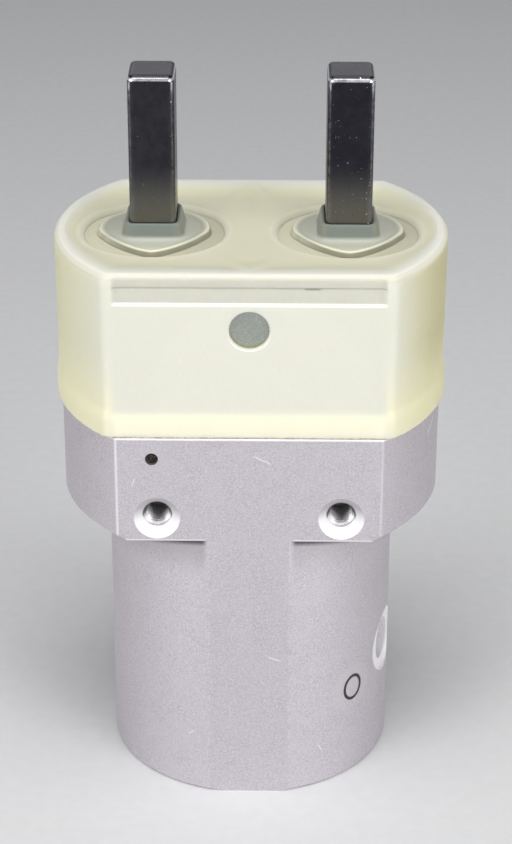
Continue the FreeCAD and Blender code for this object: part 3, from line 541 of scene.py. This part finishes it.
def silicone(name, centre=None):
    """Cast translucent rubber: milky on the flats, yellower round the sides and towards the hem, faintly
    cloudy, with dust on the skin, painted shade on the far right, along the band's line and where the wall
    turns into the top edge, and painted highlights on the rounded top edge, the ledge, the lip round each
    finger and the pin hole's lower edge. Round a finger, at centre, it takes the tones of the folded sheet."""
    graph = Graph(name, (0.85, 0.84, 0.76), 0.42)
    x, y, z = graph.parts(graph.place)
    nx, ny, nz = graph.parts(graph.normals)
    from_x = graph.size_of(x)
    flat = graph.span(graph.size_of(ny), 0.90, 0.99)
    inset = graph.span(from_x, 12.9, 11.9)
    cloud = graph.noise(4.0, 3.0, 0.6)
    fine = graph.noise(0.35, 4.0, 0.65)

    # the body of the boot
    tone = graph.mix(graph.span(graph.size_of(nx), 0.60, 1.0), BOOT_MILKY, BOOT_SIDE)
    # painted shade: the side facing +x darker
    tone = graph.mix(graph.span(nx, 0.70, 0.97, 0.0, 0.85), tone, BOOT_SHADED_RIGHT)
    tone = graph.mix(graph.span(nz, 0.25, 0.9), tone, BOOT_UPWARD)
    low = graph.span(z, 47.0, 39.2, 0.0, 0.6)
    off_flat = graph.less(1.0, graph.product(flat, inset))
    tone = graph.mix(graph.product(low, off_flat), tone, BOOT_LOW)
    from_middle = graph.distance(graph.product(graph.less(x, 1.2), 0.9), graph.less(z, 43.0))
    outer = graph.product(flat, graph.span(from_middle, 8.2, 9.6, 0.0, 0.10))
    tone = graph.mix(outer, tone, BOOT_OUTER)

    # the hem
    hem = graph.product(flat, inset, graph.span(z, HEM_TOP + 0.35, HEM_TOP - 0.45))
    tone = graph.mix(hem, tone, BOOT_HEM)
    lowest = graph.span(z, BOOT_BOTTOM + 0.20, BOOT_BOTTOM + 0.06)
    foot = graph.product(lowest, graph.span(fine, 0.40, 0.62), 0.7)
    tone = graph.mix(foot, tone, BOOT_FOOT)

    # the sunk band, its line with painted shade and a nick, and the painted highlight on the ledge below it
    on_band = graph.product(
        graph.span(graph.size_of(ny), 0.60, 0.80), graph.span(from_x, BAND_HALF + 0.05, BAND_HALF - 0.30)
    )
    band = graph.product(
        on_band, graph.span(z, PANEL_TOP + 0.02, PANEL_TOP + 0.16), graph.span(z, 53.85, 53.70),
        graph.span(z, 52.2, 52.9, 0.75, 1.0),
    )
    tone = graph.mix(band, tone, BOOT_BAND)
    # painted shade along the band's line
    tone = graph.mix(graph.product(on_band, graph.near(z, BAND_LINE, 0.12), 0.45), tone, BOOT_LINE_SHADE)
    nick = graph.product(on_band, graph.near(z, BAND_LINE - 0.06, 0.13), graph.near(x, 5.6, 0.9, 0.5), 0.5)
    tone = graph.mix(nick, tone, BOOT_NICK)
    # painted highlight along the ledge
    tone = graph.mix(graph.product(on_band, graph.near(z, PANEL_TOP - 0.01, 0.20)), tone, BOOT_LEDGE_HIGHLIGHT)

    # painted highlights on the rounded top edge, the lip round a finger and the lower edge of the pin hole,
    # and painted shade where the wall turns into the top edge
    outermost = graph.largest(
        graph.span(graph.size_of(y), 9.6, 12.0), graph.span(graph.distance(x, y), 15.6, 17.6)
    )
    # painted highlight on the rounded top edge
    rim = graph.product(outermost, graph.span(z, 53.40, 53.80), graph.span(nz, 0.3, 0.9, 0.25, 0.9))
    tone = graph.mix(rim, tone, BOOT_RIM_HIGHLIGHT)
    # painted shade where the wall turns into the rounded top edge
    turn = graph.product(
        outermost, graph.span(z, 52.8, 53.2), graph.span(nz, 0.10, 0.35), graph.span(nz, 0.97, 0.80), 0.45
    )
    tone = graph.mix(turn, tone, BOOT_TURN_SHADE)
    from_finger = graph.distance(graph.less(from_x, FINGER_X), y)
    # painted highlight on the lip round a finger, stronger at the front
    lip = graph.product(
        graph.near(from_finger, 7.0, 0.45, 0.2), graph.span(y, 1.0, -5.5, 0.25, 0.85),
        graph.span(nz, 0.3, 0.6),
    )
    tone = graph.mix(lip, tone, BOOT_LIP_HIGHLIGHT)
    from_pin = graph.distance(x, graph.less(z, PIN_Z))
    # painted highlight on the pin hole's lower edge
    pin_edge = graph.product(
        flat, graph.near(from_pin, PIN_HOLE + 0.06, 0.20), graph.span(z, PIN_Z - 0.3, PIN_Z - 1.5)
    )
    tone = graph.mix(pin_edge, tone, BOOT_PIN_EDGE_HIGHLIGHT)

    tone = graph.mix(graph.span(cloud, 0.35, 0.7, 0.0, 0.12), tone, BOOT_CLOUD)
    tone = graph.mix(graph.span(fine, 0.50, 0.78, 0.0, 0.12), tone, BOOT_DUST)
    thick = centre is None
    if not thick:
        tone = ring_tint(graph, tone, centre)
    graph.drive("Base Color", tone)
    graph.set("Subsurface Weight", 0.7 if thick else 0.35)
    graph.set("Subsurface Radius", (1.0, 1.0, 0.85))
    graph.set("Subsurface Scale", (1.6 if thick else 0.5) * MM)
    graph.set("Specular IOR Level", 0.35)
    graph.drive("Roughness", graph.span(cloud, 0.3, 0.7, 0.48, 0.62))
    graph.bump(graph.noise(0.5, 3.0, 0.5), 0.010)
    return graph.material


def ring_tint(graph, tone, centre):
    """The tones of the folded sheet round a finger: grey-green on the sleeve, with painted shade on its sides,
    and, paler, in the dish, where it is thin, a painted highlight along the fold's crest, and painted olive
    shade on the fold's outer wall and in the groove outside the fold."""
    x, y, z = graph.parts(graph.place)
    nx, ny, nz = graph.parts(graph.normals)
    shift = graph.less(x, centre)
    away = graph.distance(shift, y)
    outward = graph.calc("DIVIDE", graph.calc("ADD", graph.product(shift, nx), graph.product(y, ny)), away)
    tone = graph.mix(0.85, tone, RING_SHEET)
    thin = graph.product(graph.span(away, 6.0, 4.2), graph.span(z, 53.50, 53.60, 0.8, 1.0), 0.8)
    tone = graph.mix(thin, tone, RING_THIN)
    sleeve = graph.product(graph.span(z, 53.56, 54.05), graph.span(away, 5.0, 4.1))
    tone = graph.mix(sleeve, tone, RING_SLEEVE)
    # painted shade on the sleeve's sides
    sides = graph.product(sleeve, graph.span(graph.size_of(nx), 0.3, 0.7), 0.6)
    tone = graph.mix(sides, tone, RING_SLEEVE_SIDE_SHADE)
    beyond = graph.span(away, 4.5, 5.0)
    # painted highlight along the fold's crest
    fold = graph.product(beyond, graph.near(z, 53.70, 0.10, 0.5), graph.span(nz, 0.2, 0.8), 0.6)
    tone = graph.mix(fold, tone, RING_FOLD_HIGHLIGHT)
    # painted shade on the fold's outer wall and in the groove outside it
    wall = graph.product(
        beyond, graph.span(outward, 0.35, 0.7), graph.span(z, 53.66, 53.50),
        graph.span(nx, -0.95, -0.6, 0.3, 0.85),
    )
    groove = graph.product(beyond, graph.span(z, 53.34, 53.12), graph.span(shift, -5.0, 5.0, 0.12, 0.30))
    return graph.mix(graph.largest(wall, groove), tone, RING_SHADE)


def rubber(name, colour):
    graph = Graph(name, colour, 0.62)
    grain = graph.noise(0.25, 4.0, 0.6)
    light = tuple(min(1.0, c * 1.6 + 0.01) for c in colour)
    graph.drive("Base Color", graph.mix(graph.span(grain, 0.35, 0.75), colour, light))
    graph.drive("Roughness", graph.span(grain, 0.3, 0.7, 0.5, 0.72))
    graph.bump(grain, 0.01)
    return graph.material


def sintered(name, colour):
    """Pressed bronze grains with dark pores."""
    graph = Graph(name, colour, 0.6, 0.6)
    pores = graph.cells(0.16)
    graph.drive("Base Color", graph.mix(graph.span(pores, 0.25, 0.6), colour, (0.02, 0.018, 0.016)))
    graph.bump(graph.less(1.0, pores), 0.05)
    return graph.material


def floor_finish():
    graph = Graph("floor_finish", (0.80, 0.80, 0.80), 0.9)
    graph.set("Specular IOR Level", 0.1)
    fine = graph.noise(1.4, 3.0, 0.5)
    tone = graph.mix(graph.span(fine, 0.3, 0.7), (0.790, 0.790, 0.792), (0.810, 0.810, 0.812))
    graph.drive("Base Color", tone)
    return graph.material


FINISH = {
    "anodised_aluminium": blasted_aluminium(),
    "hard_aluminium": turned_metal("turned_aluminium", (0.52, 0.51, 0.50), 0.40),
    "ground_steel": ground_steel(),
    "hardened_steel": turned_metal("hardened_steel_finish", (0.42, 0.42, 0.44), 0.30),
    "spring_steel": turned_metal("spring_steel_finish", (0.16, 0.16, 0.18), 0.36),
    "bronze": turned_metal("bronze_finish", (0.62, 0.42, 0.22), 0.38),
    "magnet": turned_metal("magnet_finish", (0.40, 0.39, 0.37), 0.42),
    "sintered_bronze": sintered("sintered_bronze_finish", (0.09, 0.075, 0.06)),
    "black_rubber": rubber("black_rubber_finish", (0.018, 0.018, 0.020)),
    "ptfe": rubber("ptfe_finish", (0.72, 0.72, 0.70)),
    "black_steel": black_oxide("black_steel_finish", (0.038, 0.037, 0.043), 0.9),
    "silicone": silicone("silicone_finish"),
}
LEFT_FINGER_FINISH = black_oxide("left_finger_finish", (0.034, 0.034, 0.042), 0.74)
RIGHT_FINGER_FINISH = black_oxide("right_finger_finish", (0.024, 0.024, 0.033), 0.70)

for name, node in NODES.items():
    for place in node.material_slots:
        place.material = FINISH[place.material.name.split(".")[0]]
for name, finish in (("left_jaw", LEFT_FINGER_FINISH), ("right_jaw", RIGHT_FINGER_FINISH)):
    for place in NODES[name].material_slots:
        place.material = finish

# ---------------------------------------------------------------- the boot's shell


def outline_half():
    """The boot's outline from the middle of the front flat to the middle of the back flat, on the +X side.
    Each entry is x, y and the outward normal."""
    inner_radius = BOOT_RADIUS - BOOT_CORNER
    inner_flat = BOOT_FLAT - BOOT_CORNER
    centre = math.sqrt(inner_radius**2 - inner_flat**2)
    turn = math.atan2(inner_flat, centre)
    flat = steps(0.0, PATCH_HALF, round(PATCH_HALF / PATCH_STEP))
    flat += steps(PATCH_HALF, 11.4, 15)[1:]
    flat += [11.7, 11.9, 12.02, 12.1, 12.18, 12.26]          # closer, where the sunk band ends
    front = [(x, -BOOT_FLAT, 0.0, -1.0) for x in flat]
    for angle in steps(-math.pi / 2, -turn, 7):
        across, along = math.cos(angle), math.sin(angle)
        front.append((centre + BOOT_CORNER * across, -inner_flat + BOOT_CORNER * along, across, along))
    for angle in steps(-turn, 0.0, 26)[1:]:
        across, along = math.cos(angle), math.sin(angle)
        front.append((BOOT_RADIUS * across, BOOT_RADIUS * along, across, along))
    back = [(x, -y, nx, -ny) for x, y, nx, ny in reversed(front[:-1])]
    return front + back


HALF = outline_half()
OUTLINE = HALF + [(-x, y, -nx, ny) for x, y, nx, ny in reversed(HALF[1:-1])]


def wall_heights():
    """The rows of the boot's outer wall, from the hem up to where the top edge begins to round."""
    patch_low = PIN_Z - PATCH_HALF
    patch_high = PIN_Z + PATCH_HALF
    # close at the foot, the top of the hem, the ledge and the band's line; even beside the guide pin
    rows = [38.2, 38.24, 38.32, 38.5, 39.0, 39.4]
    rows += steps(39.6, 41.6, 16)
    rows += steps(42.2, patch_low - 0.6, 4)
    rows += steps(patch_low, patch_high - PATCH_STEP, round(2 * PATCH_HALF / PATCH_STEP) - 1)
    rows += [patch_high - 0.07, 51.14, 51.18, 51.22, 51.26, 51.30, 51.36, 51.45, 51.7, 52.1, 52.4]
    rows += [BAND_LINE + shift for shift in (-0.19, -0.12, -0.06, 0.0, 0.06, 0.12, 0.19)]
    rows.append(BOOT_TOP - BOOT_EDGE)
    return rows


def band_share(x, on_flat):
    """1 on the stretch of a flat that the sunk band covers, 0 off it."""
    return smooth((BAND_HALF - abs(x)) / 0.5) if on_flat else 0.0


def wall_offset(x, on_flat, z):
    """How far the boot's wall stands out from its plain outline."""
    offset = BOOT_DRAFT * (z - BOOT_BOTTOM) / (BOOT_TOP - BOOT_BOTTOM)
    offset += (HEM_BULGE - offset) * smooth((HEM_TOP + 0.7 - z) / 1.4)
    foot = (z - BOOT_BOTTOM) / 0.14
    if foot < 1.0:
        offset -= 0.10 * (1.0 - math.sqrt(max(0.0, 1.0 - (1.0 - foot) ** 2)))
    inside = band_share(x, on_flat)
    offset -= BAND_SUNK * inside * smooth((z - PANEL_TOP + 0.11) / 0.22)
    line = max(0.0, 1.0 - abs(z - BAND_LINE) / 0.13)
    return offset - 0.08 * smooth(line) * inside


def on_a_flat(ny):
    """Whether a point with that outward normal is on the front or the back flat."""
    return abs(ny) > 0.999


def wall_row(z):
    """The points of the boot's outer wall at one height."""
    row = []
    for x, y, nx, ny in OUTLINE:
        out = wall_offset(x, on_a_flat(ny), z)
        row.append((x + nx * out, y + ny * out, z))
    return row


LIP_PROFILE = (      # radius and height above the dish, from the lip's outer edge in to the opening
    (LIP_RADIUS, 0.0), (7.36, 0.03), (7.24, 0.05), (7.12, 0.03), (7.00, -0.02), (6.88, -0.09),
    (6.76, -0.17), (6.65, -0.25), (6.56, -0.33), (6.49, -0.41), (OPENING, -0.49), (OPENING, -0.62),
)
PIN_MOUTH = (        # radius beyond the pin's hole and depth below the wall
    (0.30, 0.0), (0.16, 0.005), (0.10, 0.02), (0.05, 0.05), (0.02, 0.10), (0.0, 0.20),
)


def inset_row(skin, z):
    """A row of the boot's inside, a wall's thickness in from its plain outline."""
    return skin.row([(x - nx * BOOT_WALL, y - ny * BOOT_WALL, z) for x, y, nx, ny in OUTLINE])


def boot_shell():
    """One closed skin: the wall with its hem and band, the dished top with two round openings, and the
    inside."""
    skin = Surface()
    count = len(OUTLINE)
    heights = wall_heights()
    outer = [skin.row(wall_row(z)) for z in heights]
    rim_rows = []
    for angle in steps(0.0, math.pi / 2, 12)[1:]:
        z = BOOT_TOP - BOOT_EDGE + BOOT_EDGE * math.sin(angle)
        rounding = BOOT_EDGE * (1.0 - math.cos(angle))
        points = []
        for x, y, nx, ny in OUTLINE:
            out = BOOT_DRAFT - max(rounding, BAND_SUNK * band_share(x, on_a_flat(ny)))
            points.append((x + nx * out, y + ny * out, z))
        rim_rows.append(skin.row(points))
    inner = [inset_row(skin, z) for z in heights if z < BOOT_TOP - BOOT_EDGE]

    # the walls, leaving out a square round each end of the guide pin
    low_row = min(range(len(heights)), key=lambda i: abs(heights[i] - (PIN_Z - PATCH_HALF)))
    high_row = min(range(len(heights)), key=lambda i: abs(heights[i] - (PIN_Z + PATCH_HALF - 0.07)))
    reach = round(PATCH_HALF / PATCH_STEP)
    middle_back = len(HALF) - 1

    def in_patch(row, column):
        if not low_row <= row < high_row:
            return False
        for middle in (0, middle_back):
            offset = (column - middle + count // 2) % count - count // 2
            if -reach <= offset < reach:
                return True
        return False

    for rows, turned in ((outer, False), (inner, True)):
        for r in range(len(rows) - 1):
            for c in range(count):
                if in_patch(r, c):
                    continue
                d = (c + 1) % count
                face = (rows[r][c], rows[r][d], rows[r + 1][d], rows[r + 1][c])
                skin.faces.append(tuple(reversed(face)) if turned else face)
    skin.bridge(inner[0], outer[0])
    skin.bridge_all([outer[-1]] + rim_rows)

    # a round hole for the guide pin inside each square
    for middle, sign in ((0, -1.0), (middle_back, 1.0)):
        def around(rows):
            ring = [rows[low_row][(middle + i) % count] for i in range(-reach, reach)]
            ring += [rows[r][(middle + reach) % count] for r in range(low_row, high_row)]
            ring += [rows[high_row][(middle + i) % count] for i in range(reach, -reach, -1)]
            ring += [rows[r][(middle - reach) % count] for r in range(high_row, low_row, -1)]
            return ring

        outside, inside = around(outer), around(inner)
        angles = [math.atan2(skin.points[i][2] - PIN_Z, skin.points[i][0]) for i in outside]
        face_y = abs(skin.points[outside[0]][1])
        back_y = abs(skin.points[inside[0]][1])

        def circle(radius, depth):
            return skin.row([
                (radius * math.cos(a), sign * depth, PIN_Z + radius * math.sin(a)) for a in angles
            ])

        rings = [outside]
        for beyond, sunk in PIN_MOUTH:
            rings.append(circle(PIN_HOLE + beyond, face_y - sunk))
        rings.append(circle(PIN_HOLE, PIN_FACE + 0.07))
        rings.append(circle(PIN_SEAT, PIN_FACE + 0.04))
        rings.append(circle(PIN_SEAT, back_y))
        rings.append(inside)
        skin.bridge_all(rings)

    # the top: each half runs from its edge in to the lip round a finger
    rim = rim_rows[-1]
    edge = BOOT_FLAT + BOOT_DRAFT - BOOT_EDGE
    seam_y = steps(-edge, edge, 40)[1:-1]
    inner_edge = BOOT_FLAT - BOOT_WALL
    underside = BOOT_TOP - UNDERSIDE_DROP
    dish = BOOT_TOP - DISH_DROP
    seam_top = skin.row([(0.0, y, BOOT_TOP - DISH_DROP * smooth((edge - abs(y)) / DISH_RUN)) for y in seam_y])
    seam_low = skin.row([(0.0, y * inner_edge / edge, underside) for y in seam_y])
    under = inset_row(skin, underside)
    skin.bridge(under, inner[-1])
    half = len(HALF)
    for side in (1, -1):
        columns = list(range(half)) if side > 0 else [0] + list(range(count - 1, half - 2, -1))
        top_loop = [rim[c] for c in columns] + list(reversed(seam_top))
        low_loop = [under[c] for c in columns] + list(reversed(seam_low))
        centre_x = side * FINGER_X
        angles = [math.atan2(skin.points[i][1], skin.points[i][0] - centre_x) for i in top_loop]

        def ring(radius, z):
            return skin.row([
                (centre_x + radius * math.cos(a), radius * math.sin(a), z) for a in angles
            ])

        rays = 9
        rows = [top_loop]
        for step in range(1, rays):
            share = step / rays
            points = []
            for i, a in zip(top_loop, angles):
                x, y, z = skin.points[i]
                ex = centre_x + LIP_RADIUS * math.cos(a)
                ey = LIP_RADIUS * math.sin(a)
                length = math.hypot(ex - x, ey - y)
                ease = smooth(share * length / min(DISH_RUN, length))
                points.append((x + (ex - x) * share, y + (ey - y) * share, z + (dish - z) * ease))
            rows.append(skin.row(points))
        rows += [ring(radius, dish + up) for radius, up in LIP_PROFILE]
        rows.append(ring(OPENING_BELOW, underside))
        rows.append(low_loop)
        start = len(skin.faces)
        skin.bridge_all(rows)
        if side < 0:
            skin.faces[start:] = [tuple(reversed(f)) for f in skin.faces[start:]]
    return skin.build("boot_shell", FINISH["silicone"])


boot = boot_shell()
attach(boot, "body")
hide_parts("boot")

# ---------------------------------------------------------------- the folded rings round the fingers

AROUND = 160
FOLD_SIDE = 5.20
FOLD_FRONT = 6.20
FOLD_BACK = 5.5


def round_box(wide, deep, corner, angle):
    """The distance to the edge of a rectangle with rounded corners; wide and deep are half its sides."""
    across, along = abs(math.cos(angle)), abs(math.sin(angle))
    straight = min(wide / max(across, 1e-9), deep / max(along, 1e-9))
    inner_x, inner_y = wide - corner, deep - corner
    if straight * across <= inner_x or straight * along <= inner_y:
        return straight
    dot = across * inner_x + along * inner_y
    return dot + math.sqrt(max(0.0, dot * dot - (inner_x**2 + inner_y**2 - corner**2)))


def kite(side, front, back, angle):
    """The distance to the edge of a rounded kite: straight edges to a point at the front, round elsewhere."""
    across, along = abs(math.cos(angle)), abs(math.sin(angle))
    if math.sin(angle) >= 0.0:
        return 1.0 / math.hypot(across / side, along / back)
    power = 1.45 + 0.35 * smooth(1.0 - along * 2.2)
    return ((across / side) ** power + (along / front) ** power) ** (-1.0 / power)


def finger_ring(side):
    """The sheet round one finger: a groove, a kite-shaped fold, a shallow dish and the sleeve that grips the
    finger."""
    sheet = Surface()
    centre_x = side * FINGER_X
    angles = [2.0 * math.pi * i / AROUND for i in range(AROUND)]

    def row(reach, z):
        return sheet.row([
            (centre_x + side * reach(a) * math.cos(a), reach(a) * math.sin(a), z) for a in angles
        ])

    def circle(radius):
        return lambda a: radius

    def fold(grow):
        return lambda a: kite(FOLD_SIDE + grow, FOLD_FRONT + 0.8 * grow, FOLD_BACK + grow, a)

    def sleeve(wide, deep, corner):
        return lambda a: round_box(FINGER_WIDE + wide, FINGER_DEEP + deep, corner, a)

    def between(first, second, share):
        return lambda a: first(a) + (second(a) - first(a)) * share

    foot = sleeve(0.92, 0.56, 1.3)
    rows = []
    for reach, z in (
        (circle(6.80), 52.60),
        (circle(6.80), 52.96),
        (circle(6.62), 53.02),
        (between(circle(6.50), fold(0.14), 0.3), 53.04),
        (between(circle(6.50), fold(0.14), 0.7), 53.06),
        (fold(0.14), 53.09),
        (fold(0.09), 53.16),
        (fold(0.05), 53.30),
        (fold(0.01), 53.46),
        (fold(-0.06), 53.58),
        (fold(-0.17), 53.67),
        (fold(-0.31), 53.70),
        (fold(-0.46), 53.68),
        (fold(-0.62), 53.62),
        (fold(-0.80), 53.57),
        (fold(-1.00), 53.55),
        (between(fold(-1.00), foot, 0.35), 53.55),
        (between(fold(-1.00), foot, 0.75), 53.57),
        (foot, 53.63),
        (sleeve(0.80, 0.50, 1.25), 53.72),
        (sleeve(0.72, 0.46, 1.2), 53.86),
        (sleeve(0.64, 0.43, 1.1), 54.10),
        (sleeve(0.54, 0.40, 1.0), 54.45),
        (sleeve(0.45, 0.37, 0.9), 54.80),
        (sleeve(0.39, 0.34, 0.85), 54.96),
        (sleeve(0.31, 0.28, 0.8), 55.05),
        (sleeve(0.20, 0.20, 0.72), 55.09),
        (sleeve(0.11, 0.11, 0.66), 55.05),
        (sleeve(0.05, 0.05, 0.62), 54.92),
        (sleeve(0.05, 0.05, 0.62), 54.30),
        (sleeve(0.30, 0.22, 0.62), 53.95),
        (sleeve(0.58, 0.36, 0.7), 53.62),
        (sleeve(0.95, 0.60, 1.0), 53.34),
        (between(sleeve(0.95, 0.60, 1.0), circle(6.3), 0.5), 52.84),
        (circle(6.4), 52.60),
    ):
        rows.append(row(reach, z))
    sheet.bridge_all(rows)
    sheet.bridge(rows[-1], rows[0])
    return sheet


for side, word in ((-1, "left"), (1, "right")):
    sheet = finger_ring(side)
    ring = sheet.build(f"{word}_boot_ring", silicone(f"{word}_ring_finish", side * FINGER_X), flip=side > 0)
    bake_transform(ring)
    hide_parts(f"{word}_boot_collar")

# ---------------------------------------------------------------- threads and the mark on the barrel


CUT_FINISH = cut_aluminium()
HOLE_THREAD = (1.25, 1.04, 0.5, 1.0, 4.7)      # root and crest radius, pitch, where it starts and ends
PORT_THREAD = (2.1, 1.86, 0.8, 0.75, 3.7)


def thread(name, mouth, inward, root, crest, pitch, first, last):
    """The ridge of a tapped thread, wound round a hole from first to last millimetres below its mouth."""
    ridge = Surface()
    inward = Vector(inward).normalized()
    side = Vector((0.0, 0.0, 1.0))
    across = inward.cross(side)
    count = round((last - first) / pitch * 30)
    rows = []
    for i in range(count + 1):
        share = i / count
        angle = 2.0 * math.pi * (last - first) / pitch * share
        fade = min(1.0, 12.0 * share, 12.0 * (1.0 - share))
        depth = first + (last - first) * share
        outward = across * math.cos(angle) + side * math.sin(angle)
        tip = root + 0.01 + (crest - root) * fade
        rows.append(ridge.row([
            Vector(mouth) + outward * radius + inward * (depth + shift * pitch)
            for radius, shift in ((root + 0.04, -0.47), (tip, -0.08), (tip, 0.08), (root + 0.04, 0.47))
        ]))
    ridge.bridge_all(rows)
    ridge.faces.append(tuple(rows[0]))
    ridge.faces.append(tuple(reversed(rows[-1])))
    made = ridge.build(name, CUT_FINISH, flip=True, sharp=25.0)
    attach(made, "body")


for face, y_sign in (("front", -1.0), ("rear", 1.0)):
    for word, x_sign in (("left", -1.0), ("right", 1.0)):
        mouth = (x_sign * HOLE_X, y_sign * HEAD_FLAT, HOLE_Z)
        thread(f"{face}_{word}_thread", mouth, (0.0, -y_sign, 0.0), *HOLE_THREAD)
for word, turn, z in (("opening", PORT_ANGLE, LOWER_PORT_Z), ("closing", PORT_ANGLE + 180, UPPER_PORT_Z)):
    out = Vector((math.cos(math.radians(turn)), math.sin(math.radians(turn)), 0.0))
    thread(f"{word}_port_thread", out * BARREL + Vector((0.0, 0.0, z)), -out, *PORT_THREAD)

MARK_WIDE = 1.26             # half the ring mark's width and height
MARK_TALL = 1.41
MARK_PROFILE = (             # inset from the mark's outer edge, and height over the barrel
    (0.0, -0.02), (0.0, 0.008), (0.03, 0.014), (0.29, 0.014), (0.32, 0.008), (0.32, -0.02),
)


def port_mark():
    """A thin ring of ink on the barrel, beside the opening port."""
    mark = Surface()
    angles = [2.0 * math.pi * i / 64 for i in range(64)]
    rows = []
    for inset, lift in MARK_PROFILE:
        points = []
        for a in angles:
            turn = MARK_ANGLE + (MARK_WIDE - inset) * math.cos(a) / BARREL
            height = MARK_Z + (MARK_TALL - inset) * math.sin(a)
            points.append(((BARREL + lift) * math.cos(turn), (BARREL + lift) * math.sin(turn), height))
        rows.append(mark.row(points))
    mark.bridge_all(rows)
    mark.bridge(rows[-1], rows[0])
    made = mark.build("port_mark", print_ink())
    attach(made, "body")


port_mark()

# ---------------------------------------------------------------- camera, floor and lights

CAMERA_PLACE = (2.40, -200.03, 129.47)
CAMERA_TURN = 0.547          # degrees, like the tilt up from straight down and the roll
CAMERA_TILT = 64.404
CAMERA_ROLL = 0.1275
LENS = 97.82
SENSOR = 36.0
AIM_Z = 32.0                 # the height that the softboxes face, about the middle of the part
FLOOR_REACH = 1500.0
SKY_COLOUR = (0.93, 0.95, 1.0, 1.0)
SKY_FADE = (                 # the sky's strength from the horizon up
    ("From Min", 0.0), ("From Max", 0.6), ("To Min", 0.42), ("To Max", 0.14),
)
SOFTBOXES = (                # name, azimuth, elevation, distance, width and height, power
    ("key", -46.0, 14.0, 440.0, (220.0, 170.0), 0.74),
    ("fill", 44.0, 13.0, 440.0, (220.0, 170.0), 0.80),
    ("top", 0.0, 74.0, 460.0, (300.0, 300.0), 1.26),
)


def add_camera():
    data = bpy.data.cameras.new("camera")
    data.lens = LENS
    data.sensor_width = SENSOR
    data.clip_start = 0.01
    camera = bpy.data.objects.new("camera", data)
    bpy.context.scene.collection.objects.link(camera)
    camera.matrix_world = (
        Matrix.Translation(Vector(CAMERA_PLACE) * MM)
        @ Matrix.Rotation(math.radians(CAMERA_TURN), 4, "Z")
        @ Matrix.Rotation(math.radians(CAMERA_TILT), 4, "X")
        @ Matrix.Rotation(math.radians(CAMERA_ROLL), 4, "Z")
    )
    bpy.context.scene.camera = camera


def add_softbox(name, azimuth, elevation, distance, size, power):
    """A rectangular area light, that far in millimetres from the point it faces. Azimuth 0 is in front."""
    data = bpy.data.lights.new(name, "AREA")
    data.shape = "RECTANGLE"
    data.size, data.size_y = size[0] * MM, size[1] * MM
    data.energy = power
    light = bpy.data.objects.new(name, data)
    bpy.context.scene.collection.objects.link(light)
    turn, tilt = math.radians(azimuth), math.radians(elevation)
    away = Vector((math.sin(turn) * math.cos(tilt), -math.cos(turn) * math.cos(tilt), math.sin(tilt)))
    light.location = Vector((0.0, 0.0, AIM_Z * MM)) + away * distance * MM
    light.rotation_euler = (-away).to_track_quat("-Z", "Y").to_euler()


def add_floor():
    floor = Surface()
    places = steps(-FLOOR_REACH, FLOOR_REACH, 4)
    floor.bridge_all([floor.row([(x, y, 0.0) for x in places]) for y in places], closed=False)
    floor_plane = floor.build("floor", floor_finish())


def add_sky():
    """A pale sky, strongest at the horizon."""
    world = bpy.data.worlds.new("studio")
    bpy.context.scene.world = world
    world.use_nodes = True
    nodes, links = world.node_tree.nodes, world.node_tree.links
    sky = nodes["Background"]
    sky.inputs["Color"].default_value = SKY_COLOUR
    direction = nodes.new("ShaderNodeTexCoord")
    split = nodes.new("ShaderNodeSeparateXYZ")
    fade = nodes.new("ShaderNodeMapRange")
    fade.interpolation_type = "SMOOTHSTEP"
    for socket, value in SKY_FADE:
        fade.inputs[socket].default_value = value
    links.new(direction.outputs["Generated"], split.inputs[0])
    links.new(split.outputs["Z"], fade.inputs["Value"])
    links.new(fade.outputs["Result"], sky.inputs["Strength"])


add_camera()
add_floor()
add_sky()
for softbox in SOFTBOXES:
    add_softbox(*softbox)

bpy.context.scene.view_settings.view_transform = "Standard"
